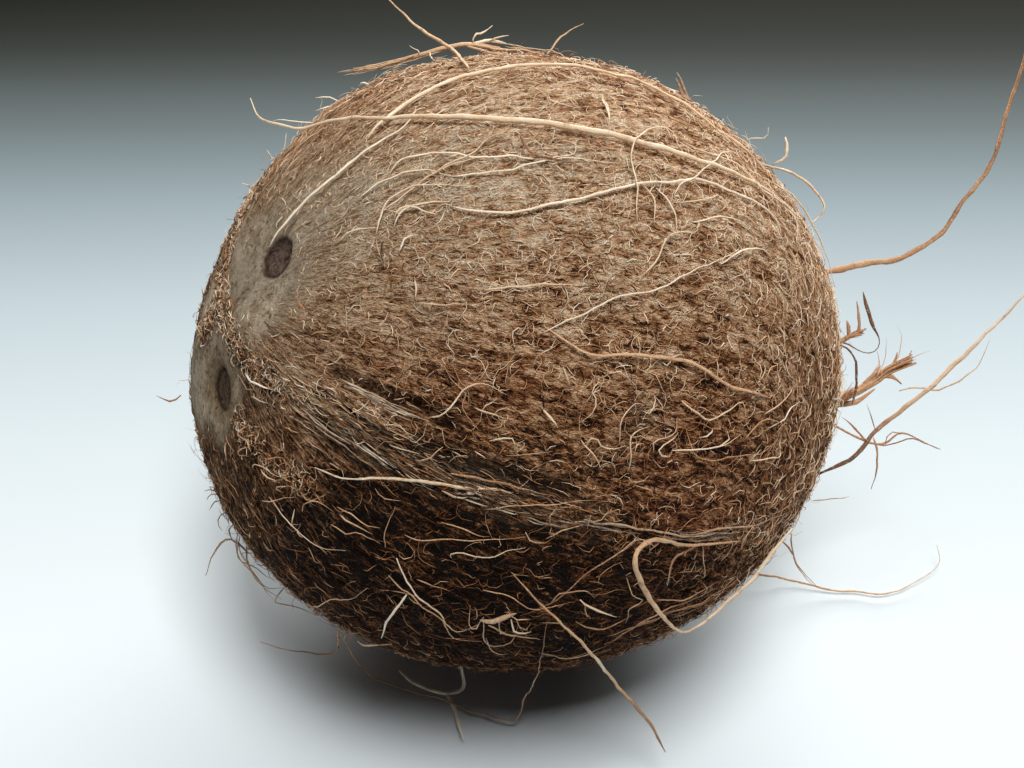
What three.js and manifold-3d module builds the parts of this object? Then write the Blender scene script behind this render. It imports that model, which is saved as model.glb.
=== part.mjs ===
// A whole dehusked coconut lying on its side, with the loose husk fibres that still stand off it.
// Millimetres, +Z up. The origin is the centre of the small flat spot that the nut rests on.
// +X runs level from the eye end to the tip end, and -Y is the front.
import * as THREE from 'three';
import { mergeVertices } from 'three/addons/utils/BufferGeometryUtils.js';
import ManifoldModule from 'manifold-3d';

// ---- driving dimensions ----
const halfLength = 59.5; // from the nut's middle to its eye end or its tip end
const halfWidth = 56.6; // mean radius at the girth
const endFullness = 0.92; // 1 is an ellipsoid, and less makes the two ends blunter
const eyeEndTaper = 0.01; // how much fuller the eye half is than the tip half
const ovalness = 0.041; // the girth is this much taller and narrower than round
const ovalAngle = 15; // degrees around, where the girth is tallest
const eyeEndLift = 29; // degrees that the eye end is raised above level
const restDepth = 0.9; // how much of the nut's underside the flat spot takes off
const ridgeAngle = 81; // degrees around, the ridge between the two eyes that face the front
const ridgeSwell = 0.009; // how far the girth swells towards its three ridges, as a part of its radius
const ridgeHeights = [1.5, 0.4, 0.8]; // crest of each ridge near the eyes
const ridgeHalfWidth = 4.5;
const ridgeFadeStart = 37; // degrees along, where a ridge starts to die away
const ridgeFadeEnd = 125;
const eyePlaces = [[13.6, 152], [13, 262], [11.8, 18.5]]; // degrees along and around, each eye's middle
const hollowDepth = 0.9; // the smooth hollow that an eye lies in
const hollowRadius = 9;
const poreDepth = 0.8; // the dark sunk disc of the eye itself
const poreRadius = 3.9;
const poreEdge = 0.8; // half the width of the slope at the pore's edge
const crustHeight = 0.9; // the fibrous crust where the three ridges meet
const crustReach = 6; // degrees along
const tipHeight = 2.2; // the blunt point at the tip end
const tipReach = 7; // degrees along

// mesh fineness
const columns = 64; // around the nut
const fineRowStep = 2; // degrees along, near the eyes
const fineRowEnd = 36;
const rowStep = 5.5;
const fibreSides = 6;
const fibreStep = 3.5; // millimetres of fibre for one step of its tube

const degrees = Math.PI / 180;
const feltColour = 0x7e624c;
const strawColour = 0xb18a5e;

// ---- the nut's surface ----
// A place on the nut is [along, around, lift]: along runs from 0 at the eye end to 180 degrees at the
// tip end, around from 0 at the top through 90 at the front, and lift is the height off the surface.

function bareNut(along, around) {
  const slope = Math.sin(along * degrees);
  const girth = 1 + ridgeSwell * Math.cos(3 * (around - ridgeAngle) * degrees) * slope
    + ovalness * Math.cos(2 * (around - ovalAngle) * degrees);
  const radius = halfWidth * Math.max(slope, 0) ** endFullness
    * (1 + eyeEndTaper * Math.cos(along * degrees)) * girth;
  return new THREE.Vector3(
    -halfLength * Math.cos(along * degrees),
    -radius * Math.sin(around * degrees),
    radius * Math.cos(around * degrees),
  );
}

const ridgeAngles = [0, 120, 240].map((turn) => ridgeAngle + turn);
const eyeCentres = eyePlaces.map(([along, around]) => bareNut(along, around));

function bump(distance, width) {
  return Math.exp(-((distance / width) ** 2));
}

function turnBetween(a, b) {
  return THREE.MathUtils.euclideanModulo(a - b + 180, 360) - 180;
}

function relief(along, around, place) {
  const fromAxis = Math.hypot(place.y, place.z);
  const ridgeFade = 1 - THREE.MathUtils.smoothstep(along, ridgeFadeStart, ridgeFadeEnd);
  const crust = bump(along, crustReach);
  let height = crustHeight * crust + tipHeight * bump(180 - along, tipReach);
  for (const [index, ridge] of ridgeAngles.entries()) {
    const aside = turnBetween(around, ridge) * degrees * fromAxis;
    height += ridgeHeights[index] * ridgeFade * bump(aside, ridgeHalfWidth) * (1 - crust);
  }
  for (const eye of eyeCentres) {
    const distance = place.distanceTo(eye);
    height -= hollowDepth * bump(distance, hollowRadius);
    const outside = THREE.MathUtils.smoothstep(distance, poreRadius - poreEdge, poreRadius + poreEdge);
    height -= poreDepth * (1 - outside);
  }
  return height;
}

function nutPoint(along, around) {
  const place = bareNut(along, around);
  return place.addScaledVector(place.clone().normalize(), relief(along, around, place));
}

// ---- standing the nut on its flat spot ----

const lyingTurn = new THREE.Matrix4().makeRotationY(eyeEndLift * degrees);

function lowestPoint() {
  const lowest = new THREE.Vector3(0, 0, Infinity);
  for (let along = 60; along <= 150; along += 0.5) {
    for (let around = 140; around <= 220; around += 0.5) {
      const place = nutPoint(along, around).applyMatrix4(lyingTurn);
      if (place.z < lowest.z) lowest.copy(place);
    }
  }
  return lowest;
}

const lowest = lowestPoint();
const lying = lyingTurn.clone().setPosition(-lowest.x, -lowest.y, -lowest.z - restDepth);

// ---- manifold helpers ----

const wasm = await ManifoldModule();
wasm.setup();

function toSolid(geometry) {
  const bare = geometry.clone();
  bare.deleteAttribute('normal');
  bare.deleteAttribute('uv');
  const merged = mergeVertices(bare, 1e-5);
  const vertProperties = new Float32Array(merged.attributes.position.array);
  const triVerts = new Uint32Array(merged.index.array);
  return new wasm.Manifold(new wasm.Mesh({ numProp: 3, vertProperties, triVerts }));
}

function toGeometry(solid) {
  const { vertProperties, triVerts } = solid.getMesh();
  const geometry = new THREE.BufferGeometry();
  geometry.setAttribute('position', new THREE.BufferAttribute(new Float32Array(vertProperties), 3));
  geometry.setIndex(new THREE.BufferAttribute(new Uint32Array(triVerts), 1));
  geometry.computeVertexNormals();
  return geometry;
}

// ---- the nut ----

function alongRows() {
  const rows = [];
  for (let along = fineRowStep; along < fineRowEnd; along += fineRowStep) rows.push(along);
  const count = Math.round((180 - fineRowEnd) / rowStep);
  for (let row = 0; row < count; row++) rows.push(fineRowEnd + (row * (180 - fineRowEnd)) / count);
  return rows;
}

function nutGeometry() {
  const rows = alongRows();
  const points = [nutPoint(0, 0)];
  for (const along of rows) {
    for (let column = 0; column < columns; column++) {
      points.push(nutPoint(along, (360 * column) / columns));
    }
  }
  points.push(nutPoint(180, 0));
  const vertex = (row, column) => 1 + row * columns + (column % columns);
  const last = points.length - 1;
  const faces = [];
  for (let column = 0; column < columns; column++) {
    faces.push(0, vertex(0, column + 1), vertex(0, column));
    faces.push(last, vertex(rows.length - 1, column), vertex(rows.length - 1, column + 1));
  }
  for (let row = 0; row + 1 < rows.length; row++) {
    for (let column = 0; column < columns; column++) {
      const [a, b] = [vertex(row, column), vertex(row, column + 1)];
      const [c, d] = [vertex(row + 1, column + 1), vertex(row + 1, column)];
      faces.push(a, b, c, a, c, d);
    }
  }
  const geometry = new THREE.BufferGeometry().setFromPoints(points);
  geometry.setIndex(faces);
  return geometry.applyMatrix4(lying);
}

function nut() {
  const below = new THREE.BoxGeometry(4 * halfLength, 4 * halfLength, 20);
  below.translate(0, 0, -10);
  const geometry = toGeometry(toSolid(nutGeometry()).subtract(toSolid(below)));
  const felt = new THREE.MeshStandardMaterial({ color: feltColour, roughness: 0.95, metalness: 0 });
  const mesh = new THREE.Mesh(geometry, felt);
  mesh.name = 'coconut';
  return mesh;
}

// ---- loose husk fibres ----
// Each route is a list of [along, around, lift] places from the fibre's root to its end.

const fibres = {
  fibre_over_top: {
    radius: 0.7,
    route: [
      [113, 16, 1.6], [97, 16, 1.6], [88, 16, 1.6], [77, 15, 1.6], [67, 13, 1.6], [58, 10, 1.6],
      [44, 1, 1.6], [36, -12, 1.8], [32, -18, 2.4], [29, -26, 3.2], [28, -32, 5.4], [28, -40, 8],
      [31, -46, 11],
    ],
  },
  fibre_top_bundle: {
    radius: 0.8,
    route: [[73, -33, 1.6], [69, -37, 3.2], [64, -42, 3.6], [58, -48, 4], [54, -53, 5.7]],
  },
  fibre_top_sprig: {
    radius: 0.3,
    route: [[69, -36, 4.5], [71, -37, 5.2], [73.5, -37.5, 6.8]],
  },
  fibre_top_crossing: {
    radius: 0.45,
    route: [[56, -12, 1.2], [60, -29, 2.6], [59, -37, 8], [58.5, -39, 11], [58, -42, 16]],
  },
  fibre_top_small: {
    radius: 0.3,
    route: [[79, -29, 0.8], [82, -30, 4.5], [86, -30, 8]],
  },
  fibre_front: {
    radius: 0.6,
    route: [[72, 96, 1.3], [78, 99, 2.4], [90, 106, 3.5], [106, 120, 7], [112, 124, 13.5], [115, 127, 20]],
  },
  fibre_front_loop: {
    radius: 0.55,
    route: [
      [108, 80, 1.3], [96, 81, 2], [86, 80, 5], [84, 82, 7], [87, 86, 7], [93, 91, 7], [100, 96, 6],
      [106, 99, 5], [113, 97, 3], [119, 91, 2], [121, 85, 1.5], [125, 79, 1.2],
    ],
  },
  fibre_left: {
    radius: 0.3,
    route: [[26, -161, 2.2], [26, -163.5, 3.8], [25, -162, 6.5]],
  },
  fibre_lower_left: {
    radius: 0.35,
    route: [[49, 165, 0.9], [45, 167, 2], [46, 167, 5.6], [48, 165, 9.4]],
  },
  fibre_forked: {
    radius: 0.5,
    route: [[97, 158, 1.2], [98, 157, 7.2], [96, 158, 8.6], [92, 160.5, 8.5], [90, 165, 7.8]],
  },
  fibre_forked_branch: {
    radius: 0.35,
    route: [[96, 156, 10.2], [96, 154, 11.6], [95, 149, 14.6]],
  },
  fibre_low_front: {
    radius: 0.35,
    route: [
      [69, 152, 0.8], [76, 162, 3.8], [86, 165, 10], [94, 157, 9.4], [102, 147, 11], [102, 143, 6.2],
      [93, 124, 2], [83, 105, 1],
    ],
  },
  fibre_low_left: {
    radius: 0.35,
    route: [[68, 153, 1], [80, 171, 10.4], [77, 176, 15.6], [74, 179, 18.5]],
  },
  fibre_right_upper: {
    radius: 0.7,
    route: [
      [137, 10, 1.2], [139, 9, 9], [140, 9, 15], [139, 7, 24], [137, 4, 30], [135, 1, 38], [132, -3, 45],
      [129, -8, 56], [127, -10, 61],
    ],
  },
  fibre_right_lower: {
    radius: 0.6,
    route: [
      [147, 70, 1.1], [146, 62, 4.3], [146, 51, 8.2], [145, 42, 14.7], [145, 33, 22], [144, 25, 30.5],
      [143, 19, 38.6],
    ],
  },
  tip_tuft: {
    radius: 1.6,
    route: [[161, 42, 2.4], [160, 29, 9.5], [158, 24, 14], [156, 22.5, 18]],
  },
  tip_tuft_hook: {
    radius: 0.4,
    route: [[154, 27, 0.9], [151, 19, 7.5], [149, 15, 8.5], [146, 9, 8]],
  },
  tip_tuft_long: {
    radius: 0.3,
    route: [[156.5, 34, 14.5], [156, 33, 17], [156, 33, 22.6], [154, 28, 29.3], [152, 22, 32]],
  },
  tip_tuft_low: {
    radius: 0.35,
    route: [[158, 49, 0.9], [155, 55, 11.3], [155, 50, 14.7], [154, 53, 22]],
  },
  fibre_low_right: {
    radius: 0.4,
    route: [
      [148, 138, 0.9], [155, 133, 12.7], [157.5, 138, 18.5], [159, 132, 26.6], [160, 126, 31.4],
      [160, 122, 33.7], [162, 116, 38.8], [166, 107, 44.4], [168, 104, 43.4],
    ],
  },
  fibre_low_right_side: {
    radius: 0.3,
    route: [[160, 119, 0.9], [160, 127, 11], [160, 135, 17], [158, 132, 23]],
  },
};

function fibreSection(radius) {
  const corners = [];
  for (let side = 0; side < fibreSides; side++) {
    const turn = (2 * Math.PI * side) / fibreSides;
    corners.push(new THREE.Vector2(radius * Math.cos(turn), radius * Math.sin(turn)));
  }
  return new THREE.Shape(corners);
}

function fibrePlace([along, around, lift]) {
  const place = bareNut(along, around);
  return place.addScaledVector(place.clone().normalize(), lift).applyMatrix4(lying);
}

function fibre(name, { radius, route }) {
  const path = new THREE.CatmullRomCurve3(route.map(fibrePlace), false, 'centripetal');
  const steps = Math.max(6, Math.round(path.getLength() / fibreStep));
  const geometry = new THREE.ExtrudeGeometry(fibreSection(radius), {
    extrudePath: path, steps, bevelEnabled: false,
  });
  const straw = new THREE.MeshStandardMaterial({ color: strawColour, roughness: 0.8, metalness: 0 });
  const mesh = new THREE.Mesh(geometry, straw);
  mesh.name = name;
  return mesh;
}

const coconut = new THREE.Group();
coconut.add(nut());
for (const [name, shape] of Object.entries(fibres)) coconut.add(fibre(name, shape));

export default coconut;
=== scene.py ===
# A whole dehusked coconut lying on its side, with its fibrous felt and loose husk fibres.
import math
import bpy
import numpy as np
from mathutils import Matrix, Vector


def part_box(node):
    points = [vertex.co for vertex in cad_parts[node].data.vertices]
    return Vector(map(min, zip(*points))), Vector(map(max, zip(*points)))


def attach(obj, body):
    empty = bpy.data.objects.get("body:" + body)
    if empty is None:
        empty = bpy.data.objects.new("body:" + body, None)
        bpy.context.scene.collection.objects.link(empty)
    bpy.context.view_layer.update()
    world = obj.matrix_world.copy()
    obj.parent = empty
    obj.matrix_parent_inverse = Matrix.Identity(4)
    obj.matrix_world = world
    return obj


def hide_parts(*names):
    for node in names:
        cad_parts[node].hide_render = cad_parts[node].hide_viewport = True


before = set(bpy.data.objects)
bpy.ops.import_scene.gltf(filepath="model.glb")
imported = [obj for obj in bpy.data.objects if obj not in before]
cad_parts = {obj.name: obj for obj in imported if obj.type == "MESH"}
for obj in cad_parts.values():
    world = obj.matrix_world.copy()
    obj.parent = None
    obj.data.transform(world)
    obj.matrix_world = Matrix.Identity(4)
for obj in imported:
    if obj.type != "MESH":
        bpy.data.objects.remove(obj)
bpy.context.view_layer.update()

mm = 0.001
fullTurn, halfTurn = 6.283, 3.1416  # radians
rng = np.random.default_rng(41)


def rgb(*colour):  # a colour as seen, made linear
    shares = [value / 255 for value in colour]
    linear = [share / 12.92 if share <= 0.04045 else ((share + 0.055) / 1.055) ** 2.4 for share in shares]
    return (*linear, 1.0)


def ramp(*stops):  # each stop's place from 0 to 1, then its colour
    return [(place, rgb(*colour)) for place, *colour in stops]


def addToScene(name, data):
    made = bpy.data.objects.new(name, data)
    bpy.context.scene.collection.objects.link(made)
    return made


# Camera, lamps and floor. Angles are in degrees, azimuth from the front towards the tip end.

view = dict(
    target=(-3.7 * mm, -3.8 * mm, 56.5 * mm), azimuth=-18.5, elevation=40.0, distance=319 * mm, lens=60.0,
    sensorWidth=36, nearest=0.01, furthest=50,
)
lamps = dict(  # width runs level, and height up and down
    window=dict(azimuth=147, elevation=24, width=1.5, height=0.8, power=33, colour=(1.0, 0.98, 0.945)),
    ceiling=dict(azimuth=0, elevation=73.5, width=0.5, height=0.6, power=23.7, colour=(1.0, 0.985, 0.955)),
)
lampDistance = 1.5
lampTarget = Vector((0, 0, 0.05))
sky = dict(colour=(0.95, 0.97, 1.0, 1), strength=0.035)


def directionFrom(azimuth, elevation):
    turn, lift = math.radians(azimuth), math.radians(elevation)
    return Vector((math.sin(turn) * math.cos(lift), -math.cos(turn) * math.cos(lift), math.sin(lift)))


def aim(made, target, azimuth, elevation, distance):  # stands it off the target and turns it to face it
    away = directionFrom(azimuth, elevation)
    made.location = Vector(target) + away * distance
    made.rotation_euler = away.to_track_quat("Z", "Y").to_euler()


def makeCamera():
    data = bpy.data.cameras.new("camera")
    data.lens = view["lens"]
    data.sensor_width = view["sensorWidth"]
    data.clip_start = view["nearest"]
    data.clip_end = view["furthest"]
    camera = addToScene("camera", data)
    aim(camera, view["target"], view["azimuth"], view["elevation"], view["distance"])
    bpy.context.scene.camera = camera


def makeLamps():
    for name, lamp in lamps.items():
        data = bpy.data.lights.new(name, "AREA")
        data.shape = "RECTANGLE"
        data.size = lamp["width"]
        data.size_y = lamp["height"]
        data.energy = lamp["power"]
        data.color = lamp["colour"]
        aim(addToScene(name, data), lampTarget, lamp["azimuth"], lamp["elevation"], lampDistance)
    world = bpy.data.worlds.new("studio")
    world.use_nodes = True
    background = world.node_tree.nodes["Background"]
    background.inputs["Color"].default_value = sky["colour"]
    background.inputs["Strength"].default_value = sky["strength"]
    bpy.context.scene.world = world


# Nodes. A Field is a node's output that plain arithmetic can build on.

def addNode(tree, kind, inputs=None, **settings):
    made = tree.nodes.new(kind)
    for name, value in settings.items():
        setattr(made, name, value)
    for key, value in (inputs or {}).items():
        if isinstance(value, Field):
            tree.links.new(value.socket, made.inputs[key])
        else:
            made.inputs[key].default_value = value
    return made


def addField(tree, kind, inputs=None, output=0, **settings):
    return Field(tree, addNode(tree, kind, inputs, **settings).outputs[output])


class Field:
    def __init__(self, tree, socket):
        self.tree = tree
        self.socket = socket

    def math(self, operation, *others, clamp=False):
        inputs = dict(enumerate((self, *others)))
        return addField(self.tree, "ShaderNodeMath", inputs, operation=operation, use_clamp=clamp)

    def vector(self, operation, *others):
        output = "Value" if operation in ("DOT_PRODUCT", "DISTANCE") else "Vector"
        inputs = dict(enumerate((self, *others)))
        return addField(self.tree, "ShaderNodeVectorMath", inputs, output, operation=operation)

    def scaled(self, factor):
        inputs = {0: self, "Scale": factor}
        return addField(self.tree, "ShaderNodeVectorMath", inputs, "Vector", operation="SCALE")

    def parts(self):
        made = addNode(self.tree, "ShaderNodeSeparateXYZ", {0: self})
        return [Field(self.tree, socket) for socket in made.outputs]

    def eased(self, low, high, toLow=0.0, toHigh=1.0):
        inputs = {"Value": self, "From Min": low, "From Max": high, "To Min": toLow, "To Max": toHigh}
        return addField(self.tree, "ShaderNodeMapRange", inputs, "Result", interpolation_type="SMOOTHSTEP")

    def noise(self, scale, detail=3.0, roughness=0.55, distortion=0.0):
        inputs = dict(Vector=self, Scale=scale, Detail=detail, Roughness=roughness, Distortion=distortion)
        return addField(self.tree, "ShaderNodeTexNoise", inputs)

    def coloured(self, stops):
        made = addNode(self.tree, "ShaderNodeValToRGB", {"Fac": self})
        ramp = made.color_ramp
        while len(ramp.elements) < len(stops):
            ramp.elements.new(1.0)
        for element, (place, colour) in zip(ramp.elements, stops):
            element.position = place
            element.color = colour
        return Field(self.tree, made.outputs["Color"])

    def __add__(self, other):
        return self.math("ADD", other)

    def __sub__(self, other):
        return self.math("SUBTRACT", other)

    def __rsub__(self, other):
        return addField(self.tree, "ShaderNodeMath", {0: other, 1: self}, operation="SUBTRACT")

    def __mul__(self, other):
        return self.math("MULTIPLY", other)


def joined(*parts):
    tree = next(part.tree for part in parts if isinstance(part, Field))
    return addField(tree, "ShaderNodeCombineXYZ", dict(enumerate(parts)))


def mixColour(tree, factor, below, above, blend="MIX"):
    inputs = {"Factor": factor, 6: below, 7: above}
    return addField(tree, "ShaderNodeMix", inputs, 2, data_type="RGBA", blend_type=blend)


def newMaterial(name):
    material = bpy.data.materials.new(name)
    material.use_nodes = True
    return material, material.node_tree


def objectPlace(tree):
    return addField(tree, "ShaderNodeTexCoord", output="Object")


def finishMaterial(material, look, colour, height=None):
    tree = material.node_tree
    shader = tree.nodes["Principled BSDF"]
    tree.links.new(colour.socket, shader.inputs["Base Color"])
    shader.inputs["Roughness"].default_value = look["roughness"]
    shader.inputs["Specular IOR Level"].default_value = look["specular"]
    if height:
        inputs = {"Height": height, "Strength": look["bumpStrength"], "Distance": look["bumpDistance"]}
        tree.links.new(addField(tree, "ShaderNodeBump", inputs).socket, shader.inputs["Normal"])


huskTones = ramp(  # from painted shade deep between the fibres to bleached straw
    (0.0, 20, 12, 7), (0.12, 58, 33, 17), (0.25, 103, 62, 32), (0.38, 149, 100, 62),
    (0.5, 183, 135, 96), (0.62, 207, 164, 127), (0.75, 226, 188, 149), (0.88, 241, 211, 175),
    (1.0, 253, 234, 208),
)
greyTones = ramp(  # weathered husk
    (0.0, 22, 14, 9), (0.25, 96, 70, 50), (0.5, 168, 137, 106), (0.75, 214, 186, 153),
    (1.0, 250, 232, 206),
)
rustTones = ramp(  # fresh reddish husk
    (0.0, 26, 12, 7), (0.25, 98, 54, 31), (0.5, 166, 108, 70), (0.75, 216, 164, 121),
    (1.0, 250, 222, 188),
)

floorLook = dict(
    halfSize=3.0,
    nearDepth=-20 * mm,  # depths run along the view, from the nut's middle
    farDepth=260 * mm,
    roughness=0.7,
    specular=0.03,
    # pale near the camera and darkening far off: painted shade on the floor
    shadedPaint=ramp(
        (0.0, 210, 219, 225), (0.1, 204, 213, 218), (0.22, 195, 206, 212), (0.41, 170, 183, 190),
        (0.57, 135, 149, 156), (0.647, 114, 127, 132), (0.71, 97, 107, 110), (0.775, 80, 88, 89),
        (0.82, 65, 71, 70), (0.877, 47, 51, 49), (0.92, 37, 40, 36), (1.0, 20, 22, 15),
    ),
)


def makeFloor():
    look = floorLook
    half = look["halfSize"]
    corners = [(-half, -half, 0), (half, -half, 0), (half, half, 0), (-half, half, 0)]
    mesh = bpy.data.meshes.new("floor")
    mesh.from_pydata(corners, [], [(0, 1, 2, 3)])
    floor = addToScene("floor", mesh)
    material, tree = newMaterial("floor_shaded_paint")
    away = directionFrom(view["azimuth"], 0)
    depth = objectPlace(tree).vector("DOT_PRODUCT", (-away.x, -away.y, 0))
    ranges = {"Value": depth, "From Min": look["nearDepth"], "From Max": look["farDepth"]}
    shadedPaint = addField(tree, "ShaderNodeMapRange", ranges, "Result").coloured(look["shadedPaint"])
    finishMaterial(material, look, shadedPaint)
    mesh.materials.append(material)


makeCamera()
makeLamps()
makeFloor()
bpy.context.scene.view_settings.view_transform = "Standard"
print("camera, lamps and floor are in place")

# The nut's shape. A place on the nut is along (0 at the eye end, 180 at the tip end), around (0 on
# top, 90 at the front), both in degrees, and lift, in metres off the bare surface.

nutShape = dict(
    halfLength=59.5 * mm,
    halfWidth=56.6 * mm,
    endFullness=0.92,
    eyeEndTaper=0.01,
    ovalness=0.041,
    ovalAngle=15.0,
    eyeEndLift=29.0,
    ridgeAngle=81.0,
    ridgeSwell=0.009,
    ridgeHeights=(1.5 * mm, 0.4 * mm, 0.8 * mm),
    ridgeHalfWidth=4.5 * mm,
    ridgeFade=(37.0, 125.0),
    eyes=((13.6, 152), (13, 262), (11.8, 18.5)),
    hollowDepth=0.9 * mm,
    hollowRadius=9 * mm,
    poreDepth=1.0 * mm,
    poreRadius=3.9 * mm,
    poreEdge=0.8 * mm,
    crustHeight=0.9 * mm,
    crustReach=6.0,
    tipHeight=2.2 * mm,
    tipReach=7.0,
)
ridgeAngles = [nutShape["ridgeAngle"] + turn for turn in (0, 120, 240)]
girth = nutShape["halfWidth"] / mm  # millimetres


def smoothstep(value, low, high):
    t = np.clip((value - low) / (high - low), 0, 1)
    return t * t * (3 - 2 * t)


def bump(distance, width):
    return np.exp(-((distance / width) ** 2))


def turnBetween(a, b):
    return (a - b + 180) % 360 - 180


def unit(vectors):
    return vectors / np.linalg.norm(vectors, axis=-1, keepdims=True)


def bareNut(along, around):
    s = nutShape
    tilt, turn = np.radians(along), np.radians(around)
    slope = np.maximum(np.sin(tilt), 0)
    swell = 1 + s["ridgeSwell"] * np.cos(3 * np.radians(around - s["ridgeAngle"])) * slope
    swell = swell + s["ovalness"] * np.cos(2 * np.radians(around - s["ovalAngle"]))
    radius = s["halfWidth"] * slope ** s["endFullness"] * (1 + s["eyeEndTaper"] * np.cos(tilt)) * swell
    return np.stack([-s["halfLength"] * np.cos(tilt), -radius * np.sin(turn), radius * np.cos(turn)], -1)


eyeCentres = [bareNut(*eye) for eye in nutShape["eyes"]]


def ridgeDistance(along, around, ridge):
    place = bareNut(along, around)
    return np.radians(turnBetween(around, ridge)) * np.hypot(place[..., 1], place[..., 2])


def eyeDistance(along, around):
    place = bareNut(along, around)
    return np.min([np.linalg.norm(place - eye, axis=-1) for eye in eyeCentres], axis=0)


def relief(along, around):
    s = nutShape
    crust = bump(along, s["crustReach"])
    height = s["crustHeight"] * crust + s["tipHeight"] * bump(180 - along, s["tipReach"])
    fade = (1 - smoothstep(along, *s["ridgeFade"])) * (1 - crust)
    for ridge, ridgeHeight in zip(ridgeAngles, s["ridgeHeights"]):
        height = height + ridgeHeight * fade * bump(ridgeDistance(along, around, ridge), s["ridgeHalfWidth"])
    near = eyeDistance(along, around)
    height = height - s["hollowDepth"] * bump(near, s["hollowRadius"])
    edge = s["poreEdge"]
    return height - s["poreDepth"] * (1 - smoothstep(near, s["poreRadius"] - edge, s["poreRadius"] + edge))


def lying(place):  # turned as the nut lies, before it is moved onto its spot
    turn = math.radians(nutShape["eyeEndLift"])
    x, y, z = np.moveaxis(place, -1, 0)
    level, rise = math.cos(turn), math.sin(turn)
    return np.stack([x * level + z * rise, y, z * level - x * rise], -1)


def findNutCentre():  # the turned nut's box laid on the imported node's box
    along, around = np.meshgrid(np.linspace(0.5, 179.5, 359), np.linspace(0, 359, 360), indexing="ij")
    place = bareNut(along, around)
    place = lying(place + unit(place) * relief(along, around)[..., None]).reshape(-1, 3)
    low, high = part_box("coconut")
    centre = (np.array(low) + np.array(high) - place.min(0) - place.max(0)) / 2
    centre[2] = high[2] - place[:, 2].max()
    return centre


nutCentre = findNutCentre()


def nutPlace(along, around, lift=0.0):
    place = bareNut(np.asarray(along, float), np.asarray(around, float))
    return lying(place + unit(place) * np.asarray(lift, float)[..., None]) + nutCentre


eyePlaces = [nutPlace(*eye, -nutShape["hollowDepth"] - nutShape["poreDepth"]) for eye in nutShape["eyes"]]

# The nut's mesh, and what each spot of it is like.

edgeFaces = 98  # along one side of each of the six patches


def spherePatches(count):  # six square patches, joined into one ball
    ticks = np.tan(np.linspace(-math.pi / 4, math.pi / 4, count + 1))
    u, v = np.meshgrid(ticks, ticks, indexing="ij")
    one = np.ones_like(u)
    sides = [(one, u, v), (-one, v, u), (v, one, u), (u, -one, v), (u, v, one), (v, u, -one)]
    points = np.concatenate([unit(np.stack(side, -1)).reshape(-1, 3) for side in sides])
    kept, index = np.unique(np.round(points, 7), axis=0, return_inverse=True)
    index = index.reshape(6, count + 1, count + 1)
    quads = np.stack([index[:, :-1, :-1], index[:, 1:, :-1], index[:, 1:, 1:], index[:, :-1, 1:]], -1)
    return kept, quads.reshape(-1, 4)


def addAttribute(mesh, name, values):
    vector = values.ndim == 2
    attribute = mesh.attributes.new(name, "FLOAT_VECTOR" if vector else "FLOAT", "POINT")
    attribute.data.foreach_set("vector" if vector else "value", values.astype(np.float32).ravel())


def distanceToRoute(along, around, route):  # metres, on the bare surface
    place = bareNut(along, around)
    corners = bareNut(*np.array(route, float).T)
    best = np.full(len(place), np.inf)
    for start, end in zip(corners[:-1], corners[1:]):
        span = end - start
        t = np.clip(((place - start) @ span) / (span @ span), 0, 1)
        best = np.minimum(best, np.linalg.norm(place - start - t[:, None] * span, axis=1))
    return best


whorl = dict(  # towards the tip the fibres turn to run round the nut
    start=92.0, full=132.0, turn=62.0, narrowing=0.6, narrowSpan=(100, 160),
)


def whorlTurn(along):  # radians
    return np.radians(whorl["turn"]) * smoothstep(along, whorl["start"], whorl["full"])


def whorlShift(along):  # degrees around, and degrees of fibre length, gained on the way to the tip
    steps = np.linspace(0, 178, 713)
    turn = whorlTurn(steps)
    gained = np.cumsum(np.tan(turn) / np.maximum(np.sin(np.radians(steps)), 0.25)) * (steps[1] - steps[0])
    longer = np.cumsum(1 / np.cos(turn)) * (steps[1] - steps[0])
    return np.interp(along, steps, gained), np.interp(along, steps, longer)


creases = [  # widths and depths in millimetres
    dict(halfWidth=0.9, depth=1.3, route=[(30, 73), (36.8, 71.9), (41.8, 72.1), (48.2, 71.9), (52, 73)]),
    dict(halfWidth=0.8, depth=0.9, route=[(29.8, 80), (36.4, 80.2), (39.6, 80.4), (44.2, 81), (49, 80.4)]),
    dict(halfWidth=0.9, depth=1.2, route=[(104, 95.5), (108.1, 91.9), (110.1, 88.8), (112, 86)]),
    dict(halfWidth=2.1, depth=1.7, route=[(51.2, 79.6), (56, 79), (61, 78.5), (66, 78), (72, 77.8)]),
]
crustRoutes = [  # knotted fibre between the eyes, from one ridge over the eye end to the next
    dict(halfWidth=2.3, route=[
        (24, 88), (17, 94), (13, 98), (9, 100), (5, 106), (1, -116), (5, -89), (13, -68), (20, -62)]),
    dict(halfWidth=1.8, route=[(2, 200), (9, 204)]),
    dict(halfWidth=2.6, route=[(21.4, 129), (24.5, 121), (28.4, 119), (32.4, 114), (36, 111)]),
]
tipSag = dict(depth=0.5, span=(95, 125), dip=0.4, dipPlace=140, dipReach=16)  # depths in millimetres
ridgeLook = dict(
    strengths=(1.0, 0.4, 0.45), halfWidth=3.4 * mm, drift=4, driftFade=(25, 70),
    rise=(12, 24), fade=(50, 90),
)
skinShape = dict(  # the smooth skin round the eyes
    edge=(13.5, 20),
    waves=[(1.4, 3, 1), (1.1, 7, 0), (0.8, 13, 2)],  # degrees along, waves round the nut, phase
    bays=[(5, 88, 22), (3, -40, 35), (-6, 155, 28), (-8, 196, 22)],  # degrees along, place and reach around
    crustCut=1.35,
)
lowFrontPlace = dict(around=120, reach=45)
mattedPlace = dict(around=5, reach=60, fade=(32, 56))
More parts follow.
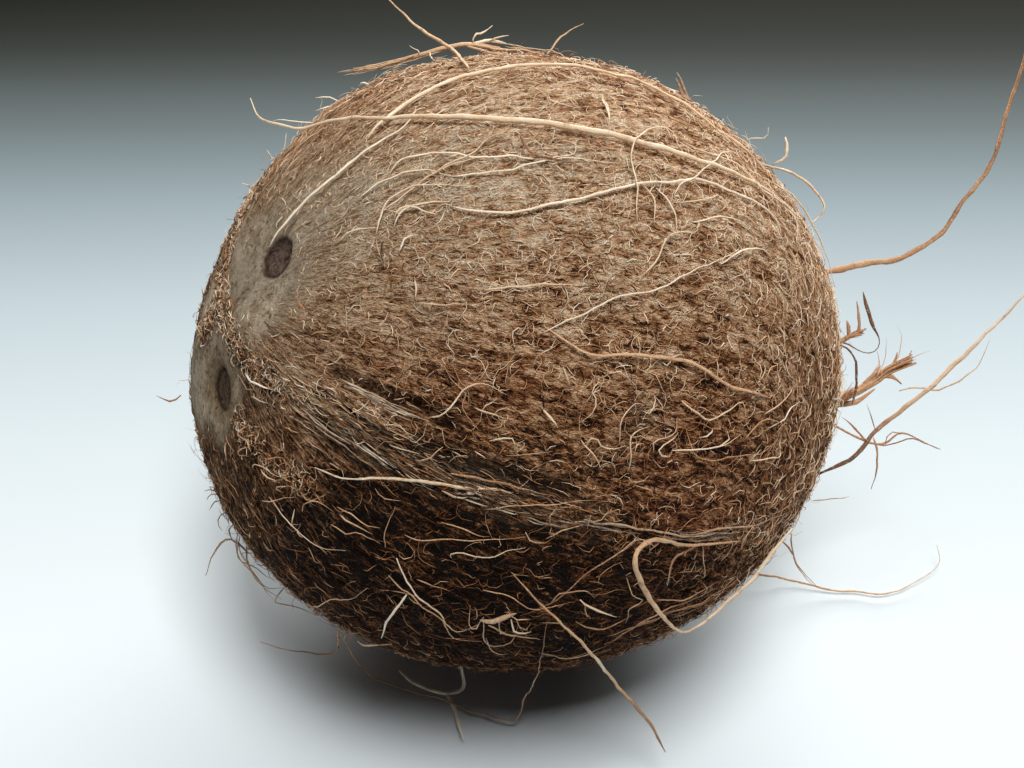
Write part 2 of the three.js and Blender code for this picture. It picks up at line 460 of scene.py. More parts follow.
toneAndShadeAround = dict(  # how light the husk is drawn around the nut: partly its own colour, partly painted light on top and painted shade on the lower front
    places=[-180, -150, -110, -70, -30, 0, 20, 35, 50, 62, 72, 80, 88, 100, 125, 150, 180],
    tones=[0.42, 0.46, 0.52, 0.55, 0.56, 0.68, 0.78, 0.72, 0.6, 0.46, 0.37, 0.35, 0.09, 0.0, 0.0, 0.18, 0.4],
)
toneShifts = [  # lighter by, place and reach around, and the places along where it starts and is full
    (0.39, 105, 42, 52, 24),
    (0.11, 5, 36, 80, 50),
    (0.24, 106, 38, 88, 120),
    (-0.08, 55, 26, 74, 96),
    (0.1, 70, 25, 98, 116),
    (0.07, 105, 42, 88, 125),
]
tipShade = dict(depth=0.07, span=(88, 125))
crustTone = 0.1
greyShares = dict(
    eyeHalf=0.06, eyeHalfFade=(70, 95), eyeEnd=0.6, eyeEndFade=(16, 44), crustCut=0.8, ridge=0.8,
    lowFront=0.3, lowFrontFade=(36, 56), patches=0.45,
)
rustShares = dict(everywhere=0.1, tip=0.07, tipSpan=(70, 100), patches=0.7, crust=0.1)
rustPlaces = [  # along, around, and how far each reddish patch spreads in millimetres
    (52, 64, 5.5), (60, 61, 4), (84, 65, 7), (88, 76, 6), (47, 48, 4.5), (100, 70, 6), (114, 66, 9),
    (96, 78, 7), (28, 119, 4), (75, 330, 9), (60, 230, 10), (120, 200, 9),
]
greyPlaces = [
    (44, 52, 8), (70, 44, 4), (92, 38, 5), (98, 28, 4), (62, 18, 5), (80, 60, 4), (23, 335, 3),
    (27, 334.5, 3), (32, 335, 3.5), (22, 105, 4), (27, 98, 4), (50, 300, 12), (90, 240, 12),
]


# The husk's tone at each spot: its own colour, with painted light on top and painted shade on the lower
# front.
def regionToneAndShade(along, around):
    folded = turnBetween(around, 0)
    tone = np.interp(folded, toneAndShadeAround["places"], toneAndShadeAround["tones"])
    for lighter, middle, reach, start, full in toneShifts:
        tone = tone + lighter * bump(folded - middle, reach) * smoothstep(along, start, full)
    return tone - tipShade["depth"] * smoothstep(along, *tipShade["span"])


def patchMask(place, patches):
    return np.max([bump(np.linalg.norm(place - bareNut(along, around), axis=1), reach * mm)
                   for along, around, reach in patches], axis=0)


def lineMasks(along, around, lines):
    return [bump(distanceToRoute(along, around, line["route"]), line["halfWidth"] * mm) for line in lines]


def ridgeMask(along, around):
    look = ridgeLook
    drift = look["drift"] * (1 - smoothstep(along, *look["driftFade"]))
    masks = [strength * bump(ridgeDistance(along, around, angle + drift), look["halfWidth"])
             for angle, strength in zip(ridgeAngles, look["strengths"])]
    shown = smoothstep(along, *look["rise"]) * (1 - smoothstep(along, *look["fade"]))
    return np.max(masks, axis=0) * shown


def skinMask(along, around, crust):
    edge = along
    for size, waves, phase in skinShape["waves"]:
        edge = edge + size * np.sin(waves * np.radians(around) + phase)
    for size, middle, reach in skinShape["bays"]:
        edge = edge + size * bump(turnBetween(around, middle), reach)
    return np.clip((1 - smoothstep(edge, *skinShape["edge"])) * (1 - skinShape["crustCut"] * crust), 0, 1)


def flowPlaces(along, around):  # where each spot lies on the fibres' own map, in millimetres
    gained, longer = whorlShift(along)
    turn = np.radians(around - gained)
    reach = girth * (1 - whorl["narrowing"] * smoothstep(along, *whorl["narrowSpan"]))
    return np.stack([np.cos(turn) * reach, np.sin(turn) * reach, np.radians(longer) * girth], -1)


def feltFields(along, around):  # what the felt is like at each spot
    ahead = nutPlace(np.minimum(along + 0.5, 179.9), around) - nutPlace(np.maximum(along - 0.5, 0.1), around)
    ridge = ridgeMask(along, around)
    crust = np.max(lineMasks(along, around, crustRoutes), axis=0)
    bare = bareNut(along, around)
    lowFront = bump(turnBetween(around, 0) - lowFrontPlace["around"], lowFrontPlace["reach"])
    matted = bump(turnBetween(around, mattedPlace["around"]), mattedPlace["reach"])
    shares = greyShares
    grey = np.max([
        shares["eyeEnd"] * (1 - smoothstep(along, *shares["eyeEndFade"])) * (1 - shares["crustCut"] * crust),
        shares["ridge"] * ridge,
        shares["lowFront"] * lowFront * (1 - smoothstep(along, *shares["lowFrontFade"])),
        shares["patches"] * patchMask(bare, greyPlaces),
    ], axis=0)
    grey = shares["eyeHalf"] * (1 - smoothstep(along, *shares["eyeHalfFade"])) + grey
    rust = np.maximum(rustShares["patches"] * patchMask(bare, rustPlaces), rustShares["crust"] * crust)
    rust = rustShares["everywhere"] + rustShares["tip"] * smoothstep(along, *rustShares["tipSpan"]) + rust
    return dict(
        flow=unit(ahead),
        flowPlace=flowPlaces(along, around),
        swirl=-whorlTurn(along),
        eyeNear=eyeDistance(along, around) / mm,
        smoothFelt=skinMask(along, around, crust),
        ridge=ridge,
        crust=np.clip(crust, 0, 1),
        crease=np.max(lineMasks(along, around, creases), axis=0),
        region=regionToneAndShade(along, around) + crustTone * np.clip(crust, 0, 1),
        grey=np.clip(grey, 0, 1),
        rust=np.clip(rust, 0, 1),
        along=along,
        lowFront=lowFront,
        matted=matted * (1 - smoothstep(along, *mattedPlace["fade"])),
    )


def makeNut():
    directions, quads = spherePatches(edgeFaces)
    along = np.degrees(np.arccos(np.clip(-directions[:, 0], -1, 1)))
    around = np.degrees(np.arctan2(-directions[:, 1], directions[:, 2])) % 360
    height = relief(along, around)
    for line, mask in zip(creases, lineMasks(along, around, creases)):
        height = height - line["depth"] * mm * mask
    sag = tipSag["depth"] * smoothstep(along, *tipSag["span"])
    height = height - mm * (sag + tipSag["dip"] * bump(along - tipSag["dipPlace"], tipSag["dipReach"]))
    place = nutPlace(along, around, height)
    corner = place[quads]
    facing = np.cross(corner[:, 1] - corner[:, 0], corner[:, 3] - corner[:, 0])
    inward = np.einsum("ij,ij->i", facing, corner.mean(1) - nutCentre) < 0
    quads[inward] = quads[inward][:, ::-1]
    mesh = bpy.data.meshes.new("coconut_felt")
    mesh.from_pydata(place.tolist(), [], quads.tolist())
    mesh.shade_smooth()
    for name, values in feltFields(along, around).items():
        addAttribute(mesh, name, values)
    return addToScene("coconut_felt", mesh)


# Geometry node trees.

def newTree(name, sizes):  # sizes: named inputs with their starting values; None is a material
    tree = bpy.data.node_groups.new(name, "GeometryNodeTree")
    for direction in ("INPUT", "OUTPUT"):
        tree.interface.new_socket("Geometry", in_out=direction, socket_type="NodeSocketGeometry")
    kinds = {type(None): "NodeSocketMaterial", int: "NodeSocketInt", float: "NodeSocketFloat"}
    for label, value in sizes.items():
        socket = tree.interface.new_socket(label, in_out="INPUT", socket_type=kinds[type(value)])
        if value is not None:
            socket.default_value = value
    tree.is_modifier = True
    return tree, {socket.name: Field(tree, socket) for socket in tree.nodes.new("NodeGroupInput").outputs}


def finishTree(tree, geometry, material):
    real = addField(tree, "GeometryNodeRealizeInstances", {"Geometry": geometry})
    made = addField(tree, "GeometryNodeSetMaterial", {"Geometry": real, "Material": material})
    tree.links.new(made.socket, tree.nodes.new("NodeGroupOutput").inputs["Geometry"])


def runTree(source, tree, values, name):  # a plain mesh of what the tree makes on the source
    modifier = source.modifiers.new("grow", "NODES")
    modifier.node_group = tree
    for item in tree.interface.items_tree:
        if item.item_type == "SOCKET" and item.in_out == "INPUT" and item.name in values:
            modifier[item.identifier] = values[item.name]
    source.update_tag()
    bpy.context.view_layer.update()
    evaluated = source.evaluated_get(bpy.context.evaluated_depsgraph_get())
    mesh = bpy.data.meshes.new_from_object(evaluated)
    source.modifiers.remove(modifier)
    mesh.name = name
    return addToScene(name, mesh)


def attributeField(tree, name, kind="FLOAT"):
    return addField(tree, "GeometryNodeInputNamedAttribute", {"Name": name}, data_type=kind)


def storeField(geometry, name, value, kind="FLOAT", domain="POINT"):
    inputs = {"Geometry": geometry, "Name": name, "Value": value}
    return addField(geometry.tree, "GeometryNodeStoreNamedAttribute", inputs, data_type=kind, domain=domain)


def placeAt(geometry, place):
    return addField(geometry.tree, "GeometryNodeSetPosition", {"Geometry": geometry, "Position": place})


def heldAbove(place, level):
    x, y, z = place.parts()
    return joined(x, y, z.math("MAXIMUM", level))


feltRelief = dict(
    waveHeight=0.65 * mm,
    streakHeight=0.6 * mm,
    lumpHeight=0.4 * mm,
    toneSwing=0.22,
)
reliefGrain = dict(  # waves in a millimetre, twice across the flow and once along it
    waves=(0.34, 0.34, 0.09),
    streaks=(0.75, 0.75, 0.17),
    mottle=(0.3, 0.3, 0.12),
    lumps=0.09,
    clouds=0.11,
)
skinCalm = 0.93  # how much flatter the skin round the eyes is
darkestTone = 0.04


def makeReliefTree():
    tree, given = newTree("felt_relief", dict(feltRelief, material=None))
    flow = attributeField(tree, "flowPlace", "FLOAT_VECTOR")
    rough = 1.0 - attributeField(tree, "smoothFelt") * skinCalm
    waves, streaks, mottle = (flow.vector("MULTIPLY", reliefGrain[name]).noise(1.0, 2.0)
                              for name in ("waves", "streaks", "mottle"))
    lumps = flow.noise(reliefGrain["lumps"], 2.0)
    clouds = flow.vector("ADD", (40.0, 9.0, 3.0)).noise(reliefGrain["clouds"], 3.0)
    cavity = ((waves - 0.5) * given["waveHeight"] + (streaks - 0.5) * given["streakHeight"]) * 2.0
    height = (cavity + (lumps - 0.5) * given["lumpHeight"]) * rough
    swing = (mottle + clouds - 1.0) * given["toneSwing"]
    tone = swing.math("MULTIPLY_ADD", rough, attributeField(tree, "region"))
    # how low the felt lies, kept for the painted shade in its hollows
    stored = storeField(given["Geometry"], "cavity", cavity * rough)
    stored = storeField(stored, "region", tone.math("MAXIMUM", darkestTone))
    offset = addField(tree, "GeometryNodeInputNormal").scaled(height)
    moved = addField(tree, "GeometryNodeSetPosition", {"Geometry": stored, "Offset": offset})
    moved = placeAt(moved, heldAbove(addField(tree, "GeometryNodeInputPosition"), 0.0))
    finishTree(tree, moved, given["material"])
    return tree


# The felt's material.

feltLook = dict(
    eyeGrey=rgb(204, 187, 163),
    eyeBrown=rgb(146, 122, 94),
    ridgeGrey=rgb(196, 176, 150),
    pore=rgb(76, 56, 47),
    poreSpeck=rgb(144, 122, 108),
    poreRimShade=rgb(52, 37, 28),
    # painted shade between fibres and down in grooves
    gapShade=rgb(30, 18, 11),
    lowEyeHollowShade=rgb(200, 192, 178),
    speck=rgb(96, 62, 40),
    # Across and along the flow, shift, detail, roughness and distortion.
    streakGrain=(1.1, 0.22, 0.0, 4.0),
    fineGrain=(2.6, 0.85, 9.0, 3.0, 0.7, 0.8),
    finestGrain=(5.2, 2.0, 21.0, 2.0, 0.7, 0.8),
    ridgeGrain=(2.6, 0.07, 3.0, 3.0, 0.6),
    # Shift, scale on each side, level and half width of the lines.
    curls=((0.0, 0.0, 0.0), (1.0, 1.0, 0.6), 0.5, 0.06),
    curlsTwo=((31.0, 7.0, 3.0), (1.3, 1.3, 0.85), 0.47, 0.07),
    shadedGaps=((11.0, 47.0, 9.0), (0.95, 0.95, 0.42), 0.52, 0.085),
    # The grain from low to high, and the tone that it adds from low to high.
    clumpTone=(0.36, 0.64, -0.2, 0.16),
    patchTone=(0.3, 0.7, -0.06, 0.07),
    streakTone=(0.3, 0.68, -0.1, 0.08),
    fineTone=(0.32, 0.66, -0.16, 0.13),
    finestTone=(0.3, 0.7, -0.12, 0.12),
    # painted shade in the felt's hollows: how low it lies, and the tone taken off
    cavityShade=(0.1 * mm, -0.5 * mm, 0.0, 0.16),
    mattedShare=0.5,
    poreWobble=0.3 * mm,
    poreEdge=(4.5 * mm, 3.4 * mm),
    rimShadeEdge=(2.6 * mm, 3.9 * mm),
    lowEyeEdge=(8.5 * mm, 4 * mm),
    roughness=0.95,
    specular=0.12,
    bumpStrength=1.0,
    bumpDistance=1.1 * mm,
)
clumpGrain = (0.8, 0.8, 0.3)


def clumpField(flow):  # small tufts that lie together, light or dark
    return flow.vector("MULTIPLY", clumpGrain).noise(1.0, 2.0, 0.6, 0.4)


def curlLines(flow, shift, sizes, level, halfWidth):  # thin curly lines, broken here and there
    moved = flow.vector("MULTIPLY", sizes).vector("ADD", shift)
    line = (moved.noise(1.0, 2.0, 0.5, 0.5) - level).math("ABSOLUTE").eased(halfWidth, 0.0)
    breaks = moved.vector("ADD", (5.2, 1.3, 8.1)).noise(1.7, 1.0)
    return line * breaks.eased(0.42, 0.54)


def makeFeltMaterial():
    material, tree = newMaterial("husk_felt")
    look = feltLook
    place = objectPlace(tree)

    def read(name, output="Fac"):
        return addField(tree, "ShaderNodeAttribute", output=output, attribute_name=name)

    def grain(across, along, shift, detail=3.0, roughness=0.65, distortion=0.0):
        spot = flow.vector("MULTIPLY", (across, across, along)).vector("ADD", (shift, shift, 0))
        return spot.noise(1.0, detail, roughness, distortion)

    def patchy(shift, scale):
        return place.vector("ADD", shift).noise(scale, 2.0, 0.6)

    flow = read("flowPlace", "Vector")
    smooth = read("smoothFelt")
    ridge = read("ridge")
    streaks = grain(*look["streakGrain"])
    fine = grain(*look["fineGrain"])
    finest = grain(*look["finestGrain"])
    patches = place.noise(70.0, 3.0, 0.6)
    curls, curlsTwo, shadedGaps = (curlLines(flow, *look[name]) for name in ("curls", "curlsTwo", "shadedGaps"))

    tone = clumpField(flow).eased(*look["clumpTone"])
    tone = tone * read("matted").eased(0.0, 1.0, 1.0, look["mattedShare"])
    # the husk's tone round the nut, which carries painted light on top and painted shade on the lower front
    tone = tone + (read("region") - 0.05)
    for grained, name in ((patches, "patch"), (streaks, "streak"), (fine, "fine"), (finest, "finest")):
        tone = tone + grained.eased(*look[name + "Tone"])
    # pale curly lines, and dark lines of painted shade between the fibres
    tone = tone + curls * 0.2 + curlsTwo * 0.16 - shadedGaps * 0.26
    # darker where the felt lies low: painted shade in its hollows
    tone = tone - read("cavity").eased(*look["cavityShade"])
    rusty = read("rust").math("ADD", patchy((3.1, 1.7, 0.4), 75.0).eased(0.56, 0.7, 0.0, 0.5), clamp=True)
    greyed = read("grey").math("ADD", patchy((7.3, 2.9, 1.1), 48.0).eased(0.58, 0.72, 0.0, 0.35), clamp=True)
    colour = mixColour(tree, rusty, tone.coloured(huskTones), tone.coloured(rustTones))
    colour = mixColour(tree, greyed, colour, tone.coloured(greyTones))

    ridgeStreaks = grain(*look["ridgeGrain"])
    colour = mixColour(tree, ridge * ridgeStreaks.eased(0.47, 0.6, 0.0, 0.75), colour, look["ridgeGrey"])
    # darker between the ridge's pale streaks: painted shade
    colour = mixColour(tree, ridge * ridgeStreaks.eased(0.46, 0.38, 0.0, 0.75), colour, look["gapShade"])

    blotches = place.noise(380.0, 3.0, 0.65)
    dust = place.noise(1500.0, 3.0, 0.7, 0.5)
    skinGrain = blotches.eased(0.36, 0.62, 0.0, 0.6) + dust.eased(0.34, 0.62, -0.1, 0.35)
    skinGrain = skinGrain.math("ADD", patches.eased(0.35, 0.65, -0.1, 0.2), clamp=True)
    skin = mixColour(tree, skinGrain, look["eyeBrown"], look["eyeGrey"])
    specks = dust.eased(0.44, 0.34) * blotches.eased(0.6, 0.4, 0.2, 0.9)
    colour = mixColour(tree, smooth, colour, mixColour(tree, specks, skin, look["speck"]))
    # the creases drawn dark: painted shade down in the grooves
    colour = mixColour(tree, read("crease").math("MULTIPLY", 0.9, clamp=True), colour, look["gapShade"])

    near = 1.0
    for eye in eyePlaces:
        near = place.vector("DISTANCE", tuple(eye)).math("MINIMUM", near)
    near = near + place.noise(210.0, 2.0).eased(0.3, 0.7, -look["poreWobble"], look["poreWobble"])
    pore = near.eased(*look["poreEdge"])
    # darker towards the pore's edge: painted shade under its rim
    rimShade = pore * near.eased(*look["rimShadeEdge"], 0.0, 0.85)
    speckled = place.noise(900.0, 4.0, 0.75, 1.2).eased(0.38, 0.62)
    poreColour = mixColour(tree, speckled, look["pore"], look["poreSpeck"])
    colour = mixColour(tree, pore, colour, mixColour(tree, rimShade, poreColour, look["poreRimShade"]))
    # the lower eye's hollow drawn darker and browner: painted shade in the hollow, partly its own browner
    # skin
    lowEyeShading = place.vector("DISTANCE", tuple(eyePlaces[0])).eased(*look["lowEyeEdge"])
    colour = mixColour(tree, lowEyeShading, colour, look["lowEyeHollowShade"], "MULTIPLY")

    height = streaks * 0.7 + fine * 0.8 + finest * 0.35 + (curls + curlsTwo) * 0.35 - shadedGaps * 0.45
    height = height * (1.0 - smooth * 0.78)
    finishMaterial(material, look, colour, height)
    return material


# Fibres that lie on the felt.

# These sizes of a coat are in millimetres.
coatLengths = ("shortest", "longest", "thickness", "wave", "lift", "tipLift", "sink", "floorLevel")
coatDefaults = dict(
    perArea=100000.0, seed=1, shortest=3, longest=8, thickness=0.4, flatness=0.6, turn=0.5, curl=0.5,
    wave=0.5, lift=0.4, tipLift=0.5, sink=0.15, steps=5, floorLevel=0.3, toneLow=0.0, toneHigh=1.0,
    toneBias=1.3, regionShare=1.0, clumpShare=0.15, shadeContrast=1.0, material=None,
)
coats = dict(
    felt_flakes=dict(
        count=6200, cover="coverAll", seed=11, steps=4, shortest=0.9, longest=3.2, thickness=0.38,
        flatness=0.5, turn=0.32, curl=0.9, wave=0.1, lift=0.35, tipLift=0.5, toneLow=-0.32,
        toneHigh=0.24, toneBias=1.0, clumpShare=0.17, shadeContrast=0.4),
    felt_down=dict(
        count=6200, cover="coverDown", seed=17, steps=4, shortest=0.7, longest=2.2, thickness=0.22,
        flatness=0.7, turn=0.6, curl=1.2, wave=0.08, lift=0.25, tipLift=0.5, sink=0.12, toneLow=-0.28,
        toneHigh=0.36, toneBias=1.0, clumpShare=0.12, shadeContrast=0.55),
    felt_curls=dict(
        count=5600, cover="coverCurls", seed=23, shortest=1.1, longest=3.6, thickness=0.25,
        flatness=0.75, turn=0.95, curl=2.1, wave=0.22, lift=0.6, tipLift=0.8, toneLow=-0.22,
        toneHigh=0.52, clumpShare=0.16, shadeContrast=0.72),
    felt_curls_fine=dict(
        count=7000, cover="coverCurls", seed=29, shortest=1.3, longest=4.2, thickness=0.19,
        flatness=0.85, turn=1.3, curl=2.5, wave=0.3, lift=0.9, tipLift=1.1, toneLow=0.02, toneHigh=0.68,
        regionShare=0.9, clumpShare=0.12, shadeContrast=0.95),
    felt_strands=dict(
        count=1300, cover="coverLong", seed=37, steps=8, shortest=3.5, longest=9, thickness=0.2,
        flatness=0.85, turn=0.4, curl=1.1, wave=0.4, lift=0.8, tipLift=1.0, sink=0.2, toneLow=0.02,
        toneHigh=0.5, toneBias=1.8, regionShare=0.9, clumpShare=0.1),
    felt_fuzz=dict(
        count=2000, cover="coverFuzz", seed=53, steps=6, shortest=2, longest=6, thickness=0.14,
        flatness=0.9, turn=1.2, curl=1.8, wave=0.35, lift=1.0, tipLift=3.0, toneLow=0.0, toneHigh=0.4,
        toneBias=1.5, clumpShare=0.05),
    ridge_fibres=dict(
        count=1100, cover="coverRidge", seed=61, shortest=2, longest=7, thickness=0.26, flatness=0.5,
        turn=0.12, curl=0.3, wave=0.1, lift=0.35, tipLift=0.3, toneLow=-0.22, toneHigh=0.3,
        toneBias=1.2, clumpShare=0.15),
    crust_curls=dict(
        count=1500, cover="coverCrust", seed=71, shortest=0.9, longest=2.4, thickness=0.24,
        flatness=0.7, turn=1.6, curl=2.6, wave=0.25, lift=0.9, tipLift=0.8, toneLow=-0.3, toneHigh=0.6,
        clumpShare=0.1),
)
# A fibre's tone sets its column in the bake map, and its family one of three bands.
bakeMap = dict(sideWidth=0.012, partHeight=0.28, margin=0.025, bandHeight=0.333)
spareFields = (
    "heading", "up", "root", "fibreLength", "bend", "phase", "turns", "rise", "stout", "family", "side",
    "part", "tone", "flow", "flowPlace", "cover", "spread", "swirl", "region", "grey", "rust", "eyeNear",
    "smoothFelt", "ridge", "crust", "crease", "along", "cavity", "lowFront", "matted",
)


def inMetres(sizes):
    return {name: value * mm if name in coatLengths else value for name, value in sizes.items()}


def randomField(seed, low, high, salt):
    inputs = {2: low, 3: high, "Seed": seed + salt}
    return addField(seed.tree, "FunctionNodeRandomValue", inputs, 1, data_type="FLOAT")


def fibreHeading(given, normal):  # along the flow, either way, turned by the swirl and by chance
    tree, seed = given["seed"].tree, given["seed"]
    swing = (randomField(seed, -1.0, 1.0, 1) + randomField(seed, -1.0, 1.0, 2)) * given["turn"]
    back = randomField(seed, 0.0, 1.0, 3).math("GREATER_THAN", 0.5) * math.pi
    angle = swing * attributeField(tree, "spread") + back + attributeField(tree, "swirl")
    inputs = {"Vector": attributeField(tree, "flow", "FLOAT_VECTOR"), "Axis": normal, "Angle": angle}
    return addField(tree, "ShaderNodeVectorRotate", inputs)


def fibreTone(given):
    tree, seed = given["seed"].tree, given["seed"]
    region = attributeField(tree, "region")
    clump = clumpField(attributeField(tree, "flowPlace", "FLOAT_VECTOR")).eased(0.36, 0.64, -1.2, 1.0)
    tone = randomField(seed, 0.0, 1.0, 10).math("POWER", given["toneBias"])
    tone = tone.math("MULTIPLY_ADD", given["toneHigh"] - given["toneLow"], given["toneLow"])
    tone = clump.math("MULTIPLY_ADD", given["clumpShare"], tone)
    contrast = region.eased(0.05, 0.6, given["shadeContrast"], 1.25)
    tone = tone * (contrast * attributeField(tree, "matted").eased(0.0, 1.0, 1.0, 0.6))
    # fibres take the husk's tone round the nut, with its painted light and painted shade
    tone = region.math("MULTIPLY_ADD", given["regionShare"], tone)
    return addField(tree, "ShaderNodeClamp", {"Value": tone, "Min": 0.01, "Max": 0.98})


def fibreFamily(given):  # 0 brown, 1 grey, 2 rust
    tree = given["seed"].tree
    pick = randomField(given["seed"], 0.0, 1.0, 11)
    greyed = pick.math("LESS_THAN", attributeField(tree, "grey"))
    rusty = pick.math("GREATER_THAN", 1.0 - attributeField(tree, "rust")) * (1.0 - greyed)
    return rusty.math("MULTIPLY_ADD", 2.0, greyed)


def scatterRoots(tree, given):  # a point at each fibre's root, with what the fibre will be like
    seed = given["seed"]
    density = given["perArea"] * attributeField(tree, "cover")
    inputs = {"Mesh": given["Geometry"], "Density": density, "Seed": seed}
    scatter = addNode(tree, "GeometryNodeDistributePointsOnFaces", inputs)
    points, normal = (Field(tree, scatter.outputs[name]) for name in ("Points", "Normal"))
    root = addField(tree, "GeometryNodeInputPosition")
    for name, value in dict(heading=fibreHeading(given, normal), up=normal, root=root).items():
        points = storeField(points, name, value, "FLOAT_VECTOR")
    length = randomField(seed, 0.0, 1.0, 4).math("POWER", 1.6)
    values = dict(
        fibreLength=length.math("MULTIPLY_ADD", given["longest"] - given["shortest"], given["shortest"]),
        bend=randomField(seed, -1.0, 1.0, 5),
        phase=randomField(seed, 0.0, fullTurn, 6),
        turns=randomField(seed, 0.6, 2.0, 7),
        rise=randomField(seed, 0.0, 1.0, 8),
        stout=randomField(seed, 0.55, 1.2, 9),
        tone=fibreTone(given),
        family=fibreFamily(given),
    )
    for name, value in values.items():
        points = storeField(points, name, value)
    return points


def nearestOn(surface, place, value):  # the value where the surface is nearest to the place
    kind = "GeometryNodeSampleNearestSurface"
    inputs = {"Mesh": surface, "Sample Position": place, "Value": value}
    return addField(surface.tree, kind, inputs, "Value", data_type="FLOAT_VECTOR")


def fibrePlace(tree, given):  # a bend and a wave along the felt, lifted off it
    part, rise = attributeField(tree, "part"), attributeField(tree, "rise")
    root, heading, up = (attributeField(tree, name, "FLOAT_VECTOR") for name in ("root", "heading", "up"))
    bend = attributeField(tree, "bend") * given["curl"] * part  # half the turn made so far
    chord = attributeField(tree, "fibreLength") * part
    wiggle = part * fullTurn * attributeField(tree, "turns") + attributeField(tree, "phase")
    aside = chord * bend.math("SINE") + wiggle.math("SINE") * given["wave"]
    base = root.vector("ADD", heading.scaled(chord * bend.math("COSINE")))
    base = base.vector("ADD", up.vector("CROSS_PRODUCT", heading).scaled(aside))
    surface = nearestOn(given["Geometry"], base, addField(tree, "GeometryNodeInputPosition"))
    outward = nearestOn(given["Geometry"], base, addField(tree, "GeometryNodeInputNormal"))
    height = (part * halfTurn).math("SINE") * rise * given["lift"]
    height = height + part.math("POWER", 2.0) * (rise.math("POWER", 3.0) * given["tipLift"])
    height = height - given["sink"] * (1.0 - part)
    return heldAbove(surface.vector("ADD", outward.scaled(height)), given["floorLevel"])


def fibreProfile(tree, given):  # a three-sided section, flattened
    inputs = {"Resolution": 3, "Radius": 1.0}
    section = addField(tree, "GeometryNodeCurvePrimitiveCircle", inputs, mode="RADIUS")
    section = storeField(section, "side", addField(tree, "GeometryNodeSplineParameter", output="Factor"))
    place = addField(tree, "GeometryNodeInputPosition")
    return placeAt(section, place.vector("MULTIPLY", joined(given["flatness"], 1.0, 1.0)))


def makeFibreTree():
    tree, given = newTree("husk_fibres", inMetres(coatDefaults))
    line = addField(tree, "GeometryNodeCurvePrimitiveLine", {"End": (0, 0, 1)}, mode="POINTS")
    line = addField(tree, "GeometryNodeResampleCurve", {"Curve": line, "Count": given["steps"]})
    inputs = {"Points": scatterRoots(tree, given), "Instance": line}
    curves = addField(tree, "GeometryNodeInstanceOnPoints", inputs)
    curves = addField(tree, "GeometryNodeRealizeInstances", {"Geometry": curves})
    curves = storeField(curves, "part", addField(tree, "GeometryNodeSplineParameter", output="Factor"))
    curves = placeAt(curves, fibrePlace(tree, given))
    inputs = {"Curve": curves, "Normal": attributeField(tree, "up", "FLOAT_VECTOR")}
    curves = addField(tree, "GeometryNodeSetCurveNormal", inputs, mode="FREE")
    part = attributeField(tree, "part")
    taper = 1.0 - part.math("POWER", 2.0) * 0.7
    radius = given["thickness"] * 0.5 * attributeField(tree, "stout") * taper
    profile = fibreProfile(tree, given)
    inputs = {"Curve": curves, "Profile Curve": profile, "Scale": radius, "Fill Caps": True}
    tubes = addField(tree, "GeometryNodeCurveToMesh", inputs)
    tone = attributeField(tree, "tone")
    across = attributeField(tree, "side").math("MULTIPLY_ADD", bakeMap["sideWidth"], tone)
    row = part.math("MULTIPLY_ADD", bakeMap["partHeight"], bakeMap["margin"])
    row = attributeField(tree, "family").math("MULTIPLY_ADD", bakeMap["bandHeight"], row)
    tubes = storeField(tubes, "OFBake", joined(across, row), "FLOAT2", "CORNER")
    for name in spareFields:
        tubes = addField(tree, "GeometryNodeRemoveAttribute", {"Geometry": tubes, "Name": name})
    finishTree(tree, tubes, given["material"])
    return tree


fibreLook = dict(rootPaintedShade=0.5, roughness=0.8, specular=0.1)


def makeFibreMaterial():  # the map's columns are tones, and its three bands are the families
    material, tree = newMaterial("husk_fibre")
    tone, row, _ = addField(tree, "ShaderNodeUVMap", uv_map="OFBake").parts()
    band = row * 3.0
    brown, grey, rust = (tone.coloured(stops) for stops in (huskTones, greyTones, rustTones))
    colour = mixColour(tree, band.math("COMPARE", 1.5, 0.5), brown, grey)
    colour = mixColour(tree, band.math("GREATER_THAN", 2.0), colour, rust)
    # fibres darker towards their roots: painted shade down in the felt
    root = band.math("FRACT").eased(0.05, 0.5, fibreLook["rootPaintedShade"], 1.0)
    colour = mixColour(tree, 1.0, colour, joined(root, root, root), "MULTIPLY")
    finishMaterial(material, fibreLook, colour)
    return material


def readMask(mesh, name):
    values = np.zeros(len(mesh.vertices), np.float32)
    mesh.attributes[name].data.foreach_get("value", values)
    return values


coverFades = dict(  # degrees along, from the smooth eye end to the full coat
    down=(30, 52), curls=(26, 50), long=(28, 54), fuzz=(18, 40),
)
spreadShares = dict(ridge=0.5, smooth=2.0, tip=1.3, tipSpan=(138, 165), lowFront=0.9, lowFrontFade=(36, 60))


def coverMasks(mesh):  # where each kind of fibre grows, 0 to 1
    names = ("smoothFelt", "ridge", "crust", "along", "eyeNear", "crease", "lowFront", "matted")
    smooth, ridge, crust, along, near, crease, lowFront, matted = (readMask(mesh, name) for name in names)
    bare = np.clip(1 - smooth * 1.3, 0, 1) * (1 - 0.85 * crease)
    clear = smoothstep(near, 5.0, 8.0)
    apart = 1 - 0.75 * ridge
    down, curls, long, fuzz = (smoothstep(along, *coverFades[name]) for name in coverFades)
    return dict(
        coverAll=bare * (1 - 0.65 * ridge) * (1 - 0.7 * matted) * (1 - 0.5 * lowFront),
        coverDown=clear * (0.08 + 0.92 * bare) * np.maximum(1 - down, 0.85 * lowFront),
        coverCurls=bare * apart * (0.1 + 0.9 * curls),
        coverLong=bare * apart * (0.06 + 0.94 * long),
        coverFuzz=bare * apart * (0.25 + 0.75 * fuzz) * (1 + 0.8 * lowFront),
        coverRidge=bare * ridge**1.5,
        coverCrust=crust**1.3 * clear,
    )


